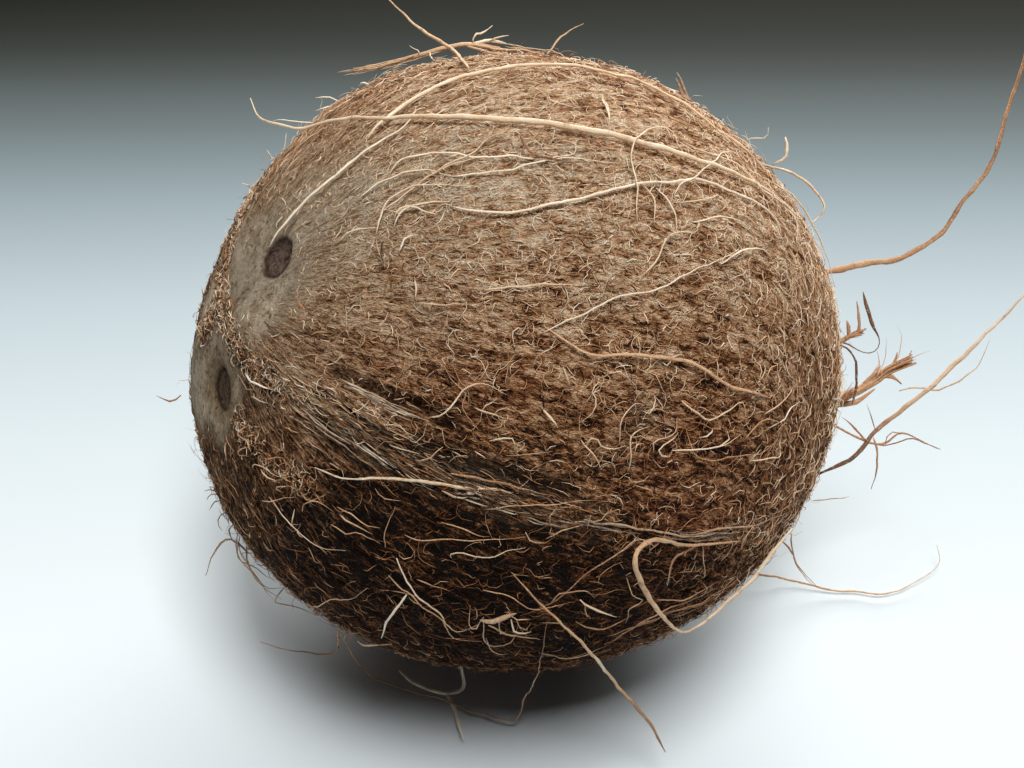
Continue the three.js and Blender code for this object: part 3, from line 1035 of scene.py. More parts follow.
def fibreSpread(mesh):  # how far fibres may turn off the flow
    names = ("smoothFelt", "ridge", "along", "lowFront")
    smooth, ridge, along, lowFront = (readMask(mesh, name) for name in names)
    shares = spreadShares
    tangled = shares["lowFront"] * lowFront * (1 - smoothstep(along, *shares["lowFrontFade"]))
    tangled = shares["tip"] * smoothstep(along, *shares["tipSpan"]) + tangled
    return 1 - shares["ridge"] * ridge + shares["smooth"] * smooth + tangled


def vertexAreas(mesh):  # each vertex's share of the faces round it
    areas = np.zeros(len(mesh.polygons), np.float32)
    mesh.polygons.foreach_get("area", areas)
    starts = np.zeros(len(mesh.loops), np.int32)
    mesh.loops.foreach_get("vertex_index", starts)
    return np.bincount(starts, np.repeat(areas / 4, 4), len(mesh.vertices))


def growCoat(nut, tree, name, sizes, mask, areas):
    sizes = inMetres(sizes)
    sizes.pop("cover")
    sizes["perArea"] = sizes.pop("count") / float((mask * areas).sum())
    cover = nut.data.attributes.get("cover") or nut.data.attributes.new("cover", "FLOAT", "POINT")
    cover.data.foreach_set("value", mask.astype(np.float32))
    coat = runTree(nut, tree, sizes, name)
    coat.data.shade_smooth()
    print(name, "has", sum(len(face.vertices) - 2 for face in coat.data.polygons), "triangles")
    return coat


nut = makeNut()
print("the nut's surface has", len(nut.data.polygons), "faces")
nutFelt = runTree(nut, makeReliefTree(), dict(material=makeFeltMaterial()), "coconut_felt_relief")
bpy.data.objects.remove(nut)
nutFelt.name = "coconut_felt"
nutFelt.data.name = "coconut_felt"
nutFelt.data.shade_smooth()
masks = coverMasks(nutFelt.data)
areas = vertexAreas(nutFelt.data)
addAttribute(nutFelt.data, "spread", fibreSpread(nutFelt.data))
fibreTree = makeFibreTree()
huskFibre = makeFibreMaterial()
grown = [growCoat(nutFelt, fibreTree, name, dict(sizes, material=huskFibre), masks[sizes["cover"]], areas)
         for name, sizes in coats.items()]

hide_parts("coconut")
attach(nutFelt, "root")
for coat in grown:
    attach(coat, "root")

# Loose strands, one at a time. Each route runs from the root: along, around, and lift in millimetres.

looseFibres = dict(
    fibre_over_top=dict(radius=0.5, tone=0.9, toneEnd=0.85, fray=5, frayFrom=0.2, frayTo=0.62,
        widths=[0.35, 0.42, 0.7, 0.95, 1.05, 1.05, 0.95, 0.68, 0.55, 0.5, 0.42], route=[(113, 16, 0.5),
        (105, 16.3, 0.9), (97, 16.6, 1.2), (90, 17, 1.5), (83.4, 16.8, 1.6), (76.6, 15.8, 1.6),
        (70.2, 14.5, 1.6), (64.1, 12.9, 1.6), (58.2, 10.9, 1.6), (52.4, 8.5, 1.6), (48.1, 5.6, 1.6),
        (43.8, 2.2, 1.6), (38.1, -4.6, 1.7), (34.5, -12.4, 2.1), (32, -18.5, 2.6), (29, -26, 3.2),
        (28, -32, 5.4), (28, -40, 8), (31, -46, 11)]),
    fibre_top_bundle=dict(radius=0.6, tone=0.72, fray=11, spread=0.6, widths=[0.6, 1, 1, 0.8, 0.45],
        route=[(73, -33, 1.6), (69, -37, 3.2), (64, -42, 3.6), (58, -48, 4), (54, -53, 5.7)], branches=[
        dict(radius=0.22, tone=0.7, route=[(61, -44, 3.7), (58, -48, 3.9), (55.5, -50, 4.5),
            (54.2, -53, 6.3)]),
        dict(radius=0.36, tone=1.0, route=[(69, -37, 3.4), (71.8, -35, 3.4), (73.9, -34, 2.9)]),
        dict(radius=0.16, tone=0.95, route=[(71.1, -35, 3.4), (72.6, -34, 3.9), (73.9, -33, 4.2)]),
        dict(radius=0.15, tone=0.9, route=[(61.5, -42.6, 3.7), (62, -44, 4.9), (61.8, -45.5, 6)]),
        dict(radius=0.14, tone=0.85, route=[(63, -42, 3.6), (60.3, -37, 1.9), (57.4, -30, 0.4)]),
        dict(radius=0.24, tone=0.74, route=[(68, -37.5, 3), (68.5, -31, 0.9), (67, -23, 0.4)]),
        dict(radius=0.3, tone=0.7, route=[(69, -36.5, 2.9), (70, -29, 1.1), (71.8, -24, 0.8),
            (73.5, -18, 0.4)]),
        dict(radius=0.13, tone=0.8, route=[(71, -34, 3), (77, -30, 1.8), (78, -24, 0.9),
            (76.5, -14, 0.4)])]),
    fibre_top_sprig=dict(radius=0.22, tone=0.95, route=[(69, -37, 3.2), (69, -36, 4.5), (71, -37, 5.2),
        (73.5, -37.5, 6.8)]),
    fibre_top_crossing=dict(radius=0.34, tone=0.74, route=[(56, -12, 1.2), (60, -29, 2.6), (59, -37, 8),
        (58.5, -39, 11), (58, -42, 16)]),
    fibre_top_small=dict(radius=0.21, tone=0.72, route=[(79, -29, 0.5), (82, -30, 4.5), (86, -30, 8)]),
    fibre_front=dict(radius=0.33, tone=0.6, tones=(0.55, 0.6, 0.7, 0.88, 0.66, 0.5, 0.4),
        widths=[0.4, 0.6, 0.85, 0.9, 0.95, 1.0, 0.6], route=[(72, 96, 1.3), (78, 99, 2.4), (90, 106, 3.5),
        (106, 120, 7), (112, 124, 13.5), (115, 127, 20)]),
    fibre_front_loop=dict(radius=0.44, tone=0.58, toneEnd=0.9,
        widths=[0.4, 0.5, 0.75, 1.05, 1.15, 0.85, 0.62, 0.52, 0.75, 0.85, 0.7], route=[(108, 80, 1.3),
        (96, 81, 2), (86, 80, 5), (84, 82, 7), (87, 86, 7), (93, 91, 7), (100, 96, 6), (106, 99, 5),
        (113, 97, 3), (119, 91, 2), (121, 85, 1.5), (125, 79, 1.2)]),
    fibre_left=dict(radius=0.21, tone=0.4, route=[(26, -161, 2.2), (26, -163.5, 3.8), (25, -162, 6.5)]),
    fibre_lower_left=dict(radius=0.22, tone=0.42, grey=0.6, route=[(49, 165, 0.9), (45, 167, 2),
        (46, 167, 5.6), (48, 165, 9.4)]),
    fibre_forked=dict(radius=0.44, tone=1.0, toneEnd=1.0, widths=[0.6, 0.8, 1, 1, 0.9, 0.8],
        route=[(97, 158, 1.2), (98, 157, 7.2), (96, 158, 8.6), (92, 160.5, 8.5), (90, 165, 7.8)]),
    fibre_forked_branch=dict(radius=0.38, tone=1.0, route=[(95.8, 158, 8.7), (96, 156.5, 9.8),
        (96, 154, 11.6), (95, 149, 14.6)]),
    fibre_low_front=dict(radius=0.2, tone=0.5, grey=0.4, route=[(69, 152, 0.8), (76, 162, 3.8),
        (86, 165, 10), (94, 157, 9.4), (102, 147, 11), (102, 143, 6.2), (93, 124, 2), (83, 105, 1)]),
    fibre_low_left=dict(radius=0.22, tone=0.52, route=[(68, 153, 1), (80, 171, 10.4), (77, 176, 15.6),
        (74, 179, 18.5)]),
    fibre_right_upper=dict(radius=0.55, tone=0.6, toneEnd=0.4, fray=5,
        widths=[1.5, 1.2, 0.9, 0.75, 0.75, 0.7, 0.6], route=[(136.5, 10.5, -0.4), (139, 9, 9), (140, 9, 15),
        (139, 7, 24), (137, 4, 30), (135, 1, 38), (132, -3, 45), (129, -8, 56), (127, -10, 61)]),
    fibre_right_lower=dict(radius=0.46, tone=0.3, tones=(0.2, 0.34, 0.7, 0.72, 0.76, 0.76), grey=0.2,
        fray=4, route=[(147, 70, -0.2), (146, 62, 4.3), (146, 51, 8.2), (145, 42, 14.7), (145, 33, 22),
        (144, 25, 30.5), (143, 19, 38.6)], branches=[
        dict(radius=0.17, tone=0.5, toneEnd=0.3, route=[(146, 56.5, 6.2), (146, 56, 9), (146.2, 55.4, 10.7),
            (146.2, 53, 13.7), (146.3, 53.5, 16.8), (146.4, 54.2, 19.9)]),
        dict(radius=0.14, tone=0.42, route=[(146, 55.5, 9.6), (146.1, 52.5, 10.3), (146.2, 52, 14.3)]),
        dict(radius=0.24, tone=0.5, route=[(146, 56, 6.3), (145.8, 52.7, 3.4), (145.6, 50.2, 0.8)]),
        dict(radius=0.2, tone=0.55, toneEnd=0.4, route=[(146, 54.5, 7.2), (146, 58.1, 8.7),
            (145.9, 61.6, 9.3), (145.2, 68.7, 9.6)]),
        dict(radius=0.12, tone=0.4, route=[(146, 53, 7.6), (145.8, 48.9, 6.3), (145.5, 45.4, 5)])]),
    tip_tuft=dict(radius=1.3, tone=0.62, toneEnd=0.56, fray=24, spread=0.35, shorten=0.05,
        widths=[1.6, 1.15, 0.8, 0.35], route=[(161, 42, 0.4), (160, 29, 9.5), (158, 24, 14),
        (156, 22.5, 18)], branches=[
        dict(radius=0.66, tone=0.6, fray=12, spread=0.5, widths=[0.8, 1, 0.9, 0.8], route=[(160, 28, 9),
            (158.8, 24.8, 11), (157.8, 22, 12.2)]),
        dict(radius=0.46, tone=0.5, fray=5, spread=0.9, route=[(158.8, 25, 12), (157.8, 22.5, 14.6),
            (156.4, 18.6, 15.6)]),
        dict(radius=0.42, tone=0.5, fray=4, spread=0.9, route=[(158.8, 25.4, 12.2), (158.4, 26.4, 14.6),
            (158.6, 29, 16.4)]),
        dict(radius=0.6, tone=0.58, fray=7, route=[(162, 38, 3.5), (161, 36, 8), (160, 30, 11.5)]),
        dict(radius=0.1, tone=0.7, route=[(158, 24, 14), (156.5, 21, 15.5), (155, 15, 16.5),
            (154, 11, 16)]),
        dict(radius=0.1, tone=0.66, route=[(158.5, 26, 12), (157, 20, 13), (155, 14, 13.5)]),
        dict(radius=0.1, tone=0.7, route=[(157, 23, 16), (156, 21, 19), (155.5, 20, 22)]),
        dict(radius=0.1, tone=0.62, route=[(159, 28, 11), (158, 23, 12), (156.5, 16, 11.5)]),
        dict(radius=0.34, tone=0.46, fray=3, route=[(158, 24, 14), (157, 22, 17), (156.2, 18.5, 18.5)])]),
    tip_tuft_hook=dict(radius=0.27, tone=0.3, toneEnd=0.22,
        widths=[1, 0.9, 0.7, 0.5, 0.4, 0.4, 0.6, 1.5, 1.8, 1.5, 0.5], route=[(151.5, 18.3, -0.2),
        (151.8, 20, 3.5), (152.2, 22.6, 5.7), (152.2, 23.7, 8), (151.7, 22.5, 9.5), (151, 20.4, 9.8),
        (150, 17, 8.9), (149, 14.3, 8.3), (147.6, 11.1, 8.1), (146.2, 8.1, 8.1)]),
    tip_tuft_long=dict(radius=0.21, tone=0.76, route=[(156.5, 34, 14.5), (156, 33, 17), (156, 33, 22.6),
        (154, 28, 29.3), (152, 22, 32)]),
    tip_tuft_low=dict(radius=0.24, tone=0.5, route=[(158, 49, -0.3), (155, 55, 11.3), (155, 50, 14.7),
        (154, 53, 22)]),
    fibre_low_right=dict(radius=0.26, tone=0.56, toneEnd=0.8, route=[(148, 138, -0.3), (155, 133, 12.7),
        (157.5, 138, 18.5), (159, 132, 26.6), (160, 126, 31.4), (160, 122, 33.7), (162, 116, 38.8),
        (166, 107, 44.4), (168, 104, 43.4)]),
    fibre_low_right_side=dict(radius=0.21, tone=0.5, route=[(160, 119, -0.3), (160, 127, 11),
        (160, 135, 17), (158, 132, 23)]),
)

lyingFibres = dict(  # long fibres that lie in the felt all the way
    eyeStrand=dict(radius=0.25, tone=1.0, route=[(12.2, 14.1, 0.7), (14.6, 11.1, 1.0), (20.4, 8.2, 1.2),
        (26.6, 6.7, 1.3), (32.7, 4.3, 1.2), (37.4, 3.2, 1.1), (40.8, 2.1, 1.2), (42.3, 0.5, 1.3),
        (43.8, -1.7, 1.2), (45.2, -2.6, 0.5)]),
    crestStrand=dict(radius=0.32, tone=0.94, toneEnd=0.76,
        widths=[0.7, 1.1, 1.0, 0.9, 0.8, 0.7, 0.75, 0.7, 0.6], route=[(34.5, -1.9, 0.4), (36.2, -2.7, 1.2),
        (39.8, -4.6, 1.2), (43.1, -6.1, 1.2), (47.9, -7.6, 1.2), (52.5, -8.4, 1.2), (61, -8, 1.3),
        (70, -7, 1.5), (75, -6, 1.4), (80, -5, 1.2), (84, -5, 1.0), (91, 0, 1.0), (97, 5, 0.8),
        (102, 6, 0.7), (109, 7, 0.1)]),
    crestLoop=dict(radius=0.24, tone=0.84, route=[(108, 5, 0.1), (112, 3, 0.7), (116, 1, 1.8),
        (118, 4, 3.6), (121, 7, 4.3), (122, 9, 3.8), (123, 9, 2), (119, 14, 0.2)]),
    middleBow=dict(radius=0.27, tone=0.95, widths=[0.6, 0.9, 1, 1, 0.9, 0.8, 0.6], route=[(45, 28, 0.6),
        (48, 30, 1.2), (53, 31, 1.3), (57, 30.5, 1.3), (62, 29, 1.3), (68, 27, 1.2), (75, 24, 1.1),
        (80, 23, 1.1), (85, 21, 1.1), (95, 21, 1.0), (101, 21, 0.7), (105, 22, 0.2)]),
    sideFibre=dict(radius=0.3, tone=0.7, toneEnd=0.62, widths=[0.5, 0.7, 0.9, 1, 1, 0.9, 0.6],
        route=[(61, 51, 0.5), (68, 54, 1.1), (74, 53, 1.1), (81, 52, 1.1), (85, 52, 1.1), (89, 53, 1.1),
        (93, 54, 1.1), (98, 54, 0.8), (103, 54, 0.2)]),
    dropArc=dict(radius=0.15, tone=0.88, route=[(74.2, 30.6, 0.4), (74, 24.9, 1.8), (74, 20.1, 2),
        (75.2, 16.3, 2), (77.8, 13.3, 2), (80.6, 12, 2), (82.5, 12.4, 2), (83.5, 14.8, 1.6),
        (86, 17, 0.4)]),
    dropTop=dict(radius=0.15, tone=0.9, route=[(73.8, 3.5, 0.4), (72.8, 7.9, 1.5), (72, 12.8, 1.2)]),
    seamStrand=dict(radius=0.3, tone=0.9, toneEnd=0.72, fray=5, spread=0.9, grey=0.3,
        widths=[0.45, 0.5, 0.55, 0.9, 1.0, 0.8, 0.5], route=[(36, 100, 1.6), (41, 96, 1.6), (47, 89, 1.5),
        (51, 86, 1.4), (58, 83, 1.2), (62, 81, 0.8), (66, 81, 0.4)]),
    seamRight=dict(radius=0.22, tone=0.6, toneEnd=0.5, fray=3, grey=0.5, route=[(78, 81, 0.5),
        (86, 80, 0.9), (95, 80, 0.9), (101, 78, 0.9), (109, 77, 0.9), (121, 75, 0.4)]),
    seamOrange=dict(radius=0.22, tone=0.5, toneEnd=0.42, route=[(54, 82.4, 0.5), (57, 80.6, 1.4),
        (61, 79.6, 1.4), (66, 79, 1.2), (71, 78.6, 0.5)]),
    darkLong=dict(radius=0.16, tone=0.95, toneEnd=0.6, grey=0.3, route=[(55.4, 104.8, 2.0),
        (61, 110.2, 2.0), (67, 112.7, 1.6), (70.1, 115.4, 1.4), (73.1, 116.4, 1.2), (74.6, 112.9, 0.6)]),
    whiteShort=dict(radius=0.24, tone=1.0, route=[(61.3, 113.5, 1.2), (62.2, 119.3, 2.2),
        (63.6, 124.2, 2.6), (65.4, 128.6, 3.2)]),
    lowShort=dict(radius=0.22, tone=0.82, route=[(69, 146, 1.6), (69, 140, 2.0), (71, 137, 0.8)]),
    crossFibre=dict(radius=0.14, tone=0.46, toneEnd=0.38, route=[(87.2, 82.2, 0.6), (85, 84, 2),
        (83.1, 87, 2), (81.6, 90.6, 2), (80.9, 94.2, 2), (80.4, 98, 2), (78.5, 106, 0.6)]),
    goldFray=dict(radius=0.2, tone=0.5, tones=(0.4, 0.5, 0.56, 0.95), fray=5, spread=1.2,
        route=[(99, 81.6, 0.6), (96.4, 82.9, 1.5), (95.2, 84.5, 1.5), (95.8, 87, 1.5), (97, 90.1, 1.8)]),
    hairKnot=dict(radius=0.5, tone=0.6, grey=0.4, fray=8, spread=1.2, widths=[0.5, 1, 1.1, 0.8, 0.4],
        route=[(73.4, 110, 1.4), (74.5, 108.8, 1.8), (75.2, 107.4, 1.8), (76.2, 105.9, 1.6),
        (77.4, 105, 1)]),
    paleBit=dict(radius=0.22, tone=0.82, fray=4, spread=1.4, route=[(84.8, 97.5, 0.8), (86.9, 98, 1.8),
        (90, 98.7, 1.9), (92.9, 99.5, 1.6)]),
    topCurl=dict(radius=0.25, tone=0.36, route=[(57, 16, 3.2), (58, 19, 2.2), (61, 20, 1.4),
        (66, 21, 0.4)]),
    stemGold=dict(radius=0.2, tone=0.66, route=[(49, 83, 0.6), (51, 80, 1.8), (52, 77, 1.8)]),
    poleFlake=dict(radius=0.22, tone=0.97, route=[(14.6, 103.7, 0.7), (17.2, 99.4, 1.4), (19.7, 94.9, 1.4),
        (22.2, 91.8, 0.6)]),
    poleDark=dict(radius=0.15, tone=0.26, route=[(13, 67, 0.6), (17, 67, 1.4), (20, 65, 1.4),
        (23, 63, 0.6)]),
    stubPale=dict(radius=0.33, tone=0.9, widths=[0.5, 0.7, 1.0, 0.9], route=[(114, 0, 0.8), (114, 1, 3.3),
        (113, 0, 4.8), (112, -1, 5.8)]),
    tuftDark=dict(radius=0.34, tone=0.5, grey=0.5, fray=6, route=[(98, -9, 0.2), (97, -11, 0.8),
        (96.5, -12, 1.6), (95, -12, 2.6)]),
    tuftDarkTwo=dict(radius=0.28, tone=0.6, grey=0.6, fray=4, route=[(98.4, -9.5, 0.2), (97.4, -11.5, 1.4),
        (95.6, -11.8, 2.9), (94.8, -12.3, 3.6)]),
    tipKnot=dict(radius=0.75, tone=0.5, fray=9, spread=0.7, widths=[1.3, 1, 0.9, 0.5],
        route=[(152, 19.7, 0.6), (151.5, 18.9, 2.8), (150.9, 18, 4.8), (150.6, 17.7, 6.7)], branches=[
        dict(radius=0.42, tone=0.46, fray=4, route=[(151.3, 18.5, 3.9), (150.3, 16.1, 4.2),
            (149.4, 13.6, 4.0)]),
        dict(radius=0.34, tone=0.5, fray=4, route=[(150.9, 18.1, 5.8), (149.4, 14.7, 6.3),
            (148.4, 12.2, 6.4), (147.2, 9.8, 6.5)]),
        dict(radius=0.3, tone=0.4, route=[(150.8, 18, 6), (150.1, 16.8, 7.4)])]),
    tipCurve=dict(radius=0.2, tone=0.24, widths=[0.8, 1, 1.3, 1.3, 0.9], route=[(151.8, 20, 1.5),
        (152.2, 21.4, 3.3), (153, 25.2, 4.7), (154.1, 30.3, 5.3), (155.1, 36.3, 5.2), (155.8, 41.3, 4.7)]),
    tuftSkirt=dict(radius=0.7, tone=0.42, fray=16, spread=1.3, route=[(159, 44, 0.3), (158.5, 38, 3.5),
        (158, 33, 6)]),
)

lyingGroups = dict(  # shorter fibres of a kind, each lifted in the middle
    bows=dict(radius=0.17, tone=0.9, lift=1.1, routes=[
        [(36, 15), (38, 13), (41, 13), (45, 15), (51, 18), (55, 19), (60, 20), (64, 20), (72, 20)],
        [(30, 19), (35, 17), (38, 17), (43, 19), (46, 21)],
        [(43, 19), (46, 18), (49, 17), (52, 14), (55, 13), (56, 14)],
        [(46, 21), (54, 22), (57, 21), (62, 20), (65, 19), (66, 16)],
        [(33, 32), (35, 24), (39, 22), (44, 23), (49, 24)],
        [(33, 27), (37, 24), (43, 20), (48, 18), (54, 18)],
        [(36, 29), (37, 27), (41, 27), (45, 27)],
        [(36, 31), (37, 28), (39, 27), (41, 29), (43, 30), (44, 28)],
        [(26, 31), (29, 30), (33, 30)],
        [(37, 38), (38, 35), (40, 34)],
        [(51, 46), (55, 45), (60, 44), (66, 43)]]),
    springs=dict(radius=0.14, tone=0.86, lift=1.5, routes=[
        [(75, 40), (77, 37), (79, 33), (81, 32), (84, 31), (85, 29)],
        [(81, 25), (82, 23), (85, 21), (89, 17), (93, 13), (99, 10)],
        [(82, 26), (86, 25), (89, 23), (90, 22)],
        [(84, 29), (90, 27), (94, 27), (97, 27)],
        [(103, 14), (103, 15), (103, 18), (101, 20)],
        [(74, 3), (73, 8), (72, 13)],
        [(76, 24), (77, 27), (77, 31)],
        [(78, 24), (80, 28), (81, 32)],
        [(108, 17), (109, 20), (109, 24)]]),
    rising=dict(radius=0.18, tone=0.9, lift=1.2, routes=[
        [(61, 52), (66, 48), (72, 44), (79, 41), (84, 37), (88, 35), (92, 32), (93, 31)],
        [(89, 35), (93, 32), (95, 31), (98, 30), (101, 31)],
        [(85, 58), (87, 59), (90, 60), (93, 58), (96, 56), (98, 58)],
        [(104, 12), (112, 12), (120, 16), (127, 24)],
        [(88, 13), (95, 14), (101, 17), (109, 18), (118, 20)]]),
    curls=dict(radius=0.14, tone=0.84, lift=1.5, routes=[
        [(71, 58), (70, 60), (71, 61), (71, 63), (70, 65)],
        [(71, 68), (72, 69), (74, 70), (76, 72)],
        [(72, 69), (72, 67), (73, 67), (74, 68), (76, 68), (78, 67)],
        [(77, 67), (76, 64), (76, 62), (77, 60), (79, 60)],
        [(80, 71), (79, 68), (78, 66), (78, 65), (81, 63)],
        [(79, 61), (80, 61), (80, 59), (80, 58)],
        [(83, 67), (82, 65), (84, 64), (85, 63), (85, 61)],
        [(86, 67), (84, 67), (83, 66), (84, 65), (86, 63)],
        [(86, 66), (89, 65), (92, 64), (95, 63), (98, 61)],
        [(90, 63), (91, 62), (92, 61)],
        [(94, 64), (94, 63), (95, 62), (95, 61)],
        [(102, 65), (105, 64), (108, 63), (108, 61)],
        [(102, 57), (104, 55), (106, 52), (108, 51)],
        [(104, 59), (106, 57), (107, 55), (111, 53)],
        [(96, 74), (96, 72), (95, 72), (96, 71), (97, 71)],
        [(48, 73), (50, 71), (51, 68), (52, 65), (54, 63), (58, 64)],
        [(54, 68), (56, 68), (58, 68), (59, 68)],
        [(64, 65), (66, 66), (67, 67)],
        [(65, 57), (66, 59), (67, 60)],
        [(58, 73), (61, 71), (62, 73)],
        [(40, 44), (41, 47), (41, 50)],
        [(41, 50), (44, 50), (48, 49)]]),
    ribEdges=dict(radius=0.11, tone=0.64, lift=1.1, grey=0.7, routes=[
        [(31.9, 73.6), (36.8, 73), (41.8, 73.2), (46, 73.1)],
        [(26.2, 89.5), (30, 88.6), (34.5, 88.2), (38.5, 88)],
        [(46, 85.5), (50, 86.6), (55, 86.2)],
        [(67.7, 84), (70, 84.4), (74, 83.7)],
        [(31.2, 96.7), (33.3, 95.6), (35.8, 95.3)],
        [(37.2, 96.8), (39.3, 96.2)],
        [(18.3, 105), (20, 102.8), (21.9, 100.3)],
        [(26.1, 95.8), (30.6, 92.6), (34.1, 91.9)]]),
    shadeHairs=dict(radius=0.12, tone=0.8, lift=1.6, grey=0.35, routes=[
        [(34, 126.5), (39.3, 121.9), (43.2, 121.3), (46, 118.4), (49, 115)],
        [(59, 152), (56.8, 142.5), (55.6, 131.7), (56.5, 125.2), (56.6, 120.6)],
        [(62.2, 99), (61.6, 97.3), (63.1, 95.5), (67, 94.1), (68.4, 91.8), (71, 90.1)],
        [(69.6, 87.1), (71, 87.9), (73.1, 87.8)]]),
    shortPale=dict(radius=0.2, tone=0.95, lift=1.4, routes=[
        [(64, 64.8), (65.6, 65.7), (67, 67.1)],
        [(78, 108), (80, 110), (83, 110)]]),
    darkHairs=dict(radius=0.15, tone=0.12, lift=1.5, routes=[
        [(34.2, 34.4), (34.6, 38.8), (34.8, 42.5)]]),
    knotHairs=dict(radius=0.11, tone=0.64, lift=2.0, grey=0.3, routes=[
        [(74.6, 111.3), (77.2, 114.8), (79.1, 116.1), (80.4, 115.2), (80.5, 112.1), (80.2, 109.6)],
        [(76.2, 105.9), (77.3, 105.2), (78.8, 104.3), (80.6, 106.2)],
        [(76.1, 108.4), (78.1, 111.1), (79.2, 111.2)],
        [(74, 110), (73.8, 112.2), (71.7, 110.5), (70.5, 108.3)],
        [(78.6, 107.4), (80.3, 107.9), (81.4, 107.3)],
        [(78.2, 116.6), (80.8, 118.4), (84.9, 120.6)],
        [(86.4, 98.4), (87.4, 100), (88.7, 100.9)],
        [(81.2, 100.4), (80, 98), (80, 95.7), (81.6, 94.7), (83.8, 94.2), (87.2, 96.7)],
        [(89.8, 90.6), (91.5, 92.8), (94.4, 94.2), (93.7, 96.3), (97.4, 102.9)],
        [(100.2, 81.5), (101.5, 84.8), (103.2, 87.5), (105, 89.4)]]),
    lowCurls=dict(radius=0.12, tone=0.66, lift=1.7, grey=0.1, routes=[
        [(21.7, 120.2), (22.1, 123.4), (23.7, 120.7), (24.7, 119.4)],
        [(24.9, 124.3), (24.6, 128.2), (25.4, 129.8), (26, 128.1)],
        [(28.4, 127), (28.1, 122), (29.5, 117.8), (31.6, 115.7), (33.6, 112.4)],
        [(28.8, 118.4), (28.8, 114.3), (29.6, 110.4), (30.6, 109.1)],
        [(29.3, 123.2), (30.3, 119.4), (31.9, 117.4), (33, 115.4)],
        [(35.2, 107.9), (36.2, 107.7), (36.4, 109.1), (36, 111.2)],
        [(34.8, 118.9), (33.7, 117.7), (34.1, 115), (34.9, 113.6)],
        [(34.1, 131.1), (34.8, 123.3), (36.6, 115.7)],
        [(38.2, 119.1), (39.8, 121.8), (40.8, 121.6)],
        [(43.9, 107.2), (45.3, 105.2), (47.6, 104.6), (50, 105.2)]]),
    rimFibres=dict(radius=0.13, tone=0.5, lift=1.1, routes=[
        [(98.8, 111.6), (99, 105.5), (100, 100.4), (103.8, 96.8), (112.6, 93.3)],
        [(99.2, 95.4), (105, 94.4), (110.9, 91.2)],
        [(101, 104), (104, 99), (110, 96), (118, 93)],
        [(103, 100), (109, 97.5), (117, 95.5)],
        [(97, 108), (101, 101.5), (106, 98)]]),
    hairs=dict(radius=0.12, tone=0.62, lift=1.5, routes=[
        [(56.9, 112.5), (59.6, 112.2), (61.3, 112.4), (64.9, 113.7), (69.1, 114.7), (70.4, 116.3),
         (74, 118.8), (78.4, 118.4)],
        [(42.7, 105.9), (45, 103.4), (48, 103.2), (50.3, 102.3)],
        [(60.5, 108.8), (62.5, 107.1), (66.1, 107.1)],
        [(57.4, 92.6), (60.4, 91.1), (63.6, 90.6), (65.1, 90.7)],
        [(45.7, 94.1), (47.6, 93.9), (50.3, 93)],
        [(39.3, 117), (38.5, 112), (40, 108), (43, 108)],
        [(36, 112), (39, 110), (40, 106)],
        [(44, 112), (47, 109), (48, 106), (52, 106)],
        [(70, 103), (74, 101), (79, 102), (84, 99)],
        [(76, 112), (80, 111), (86, 112)],
        [(90, 118), (95, 116), (100, 112)],
        [(88, 104), (93, 104), (97, 100)],
        [(62.2, 85.8), (65.6, 82.7), (71.6, 79.2), (75, 77.6), (77.2, 77.3)],
        [(54, 100), (57, 98), (59, 95), (65, 91), (70, 88)],
        [(73, 87), (74, 84), (79, 81)],
        [(53, 106), (51, 100), (50, 95)],
        [(33, 33), (34, 37), (35, 42)],
        [(99, 62), (101, 58), (106, 58), (110, 61), (112, 66)],
        [(87, 62), (90, 66), (96, 65), (103, 63), (109, 58)]]),
)

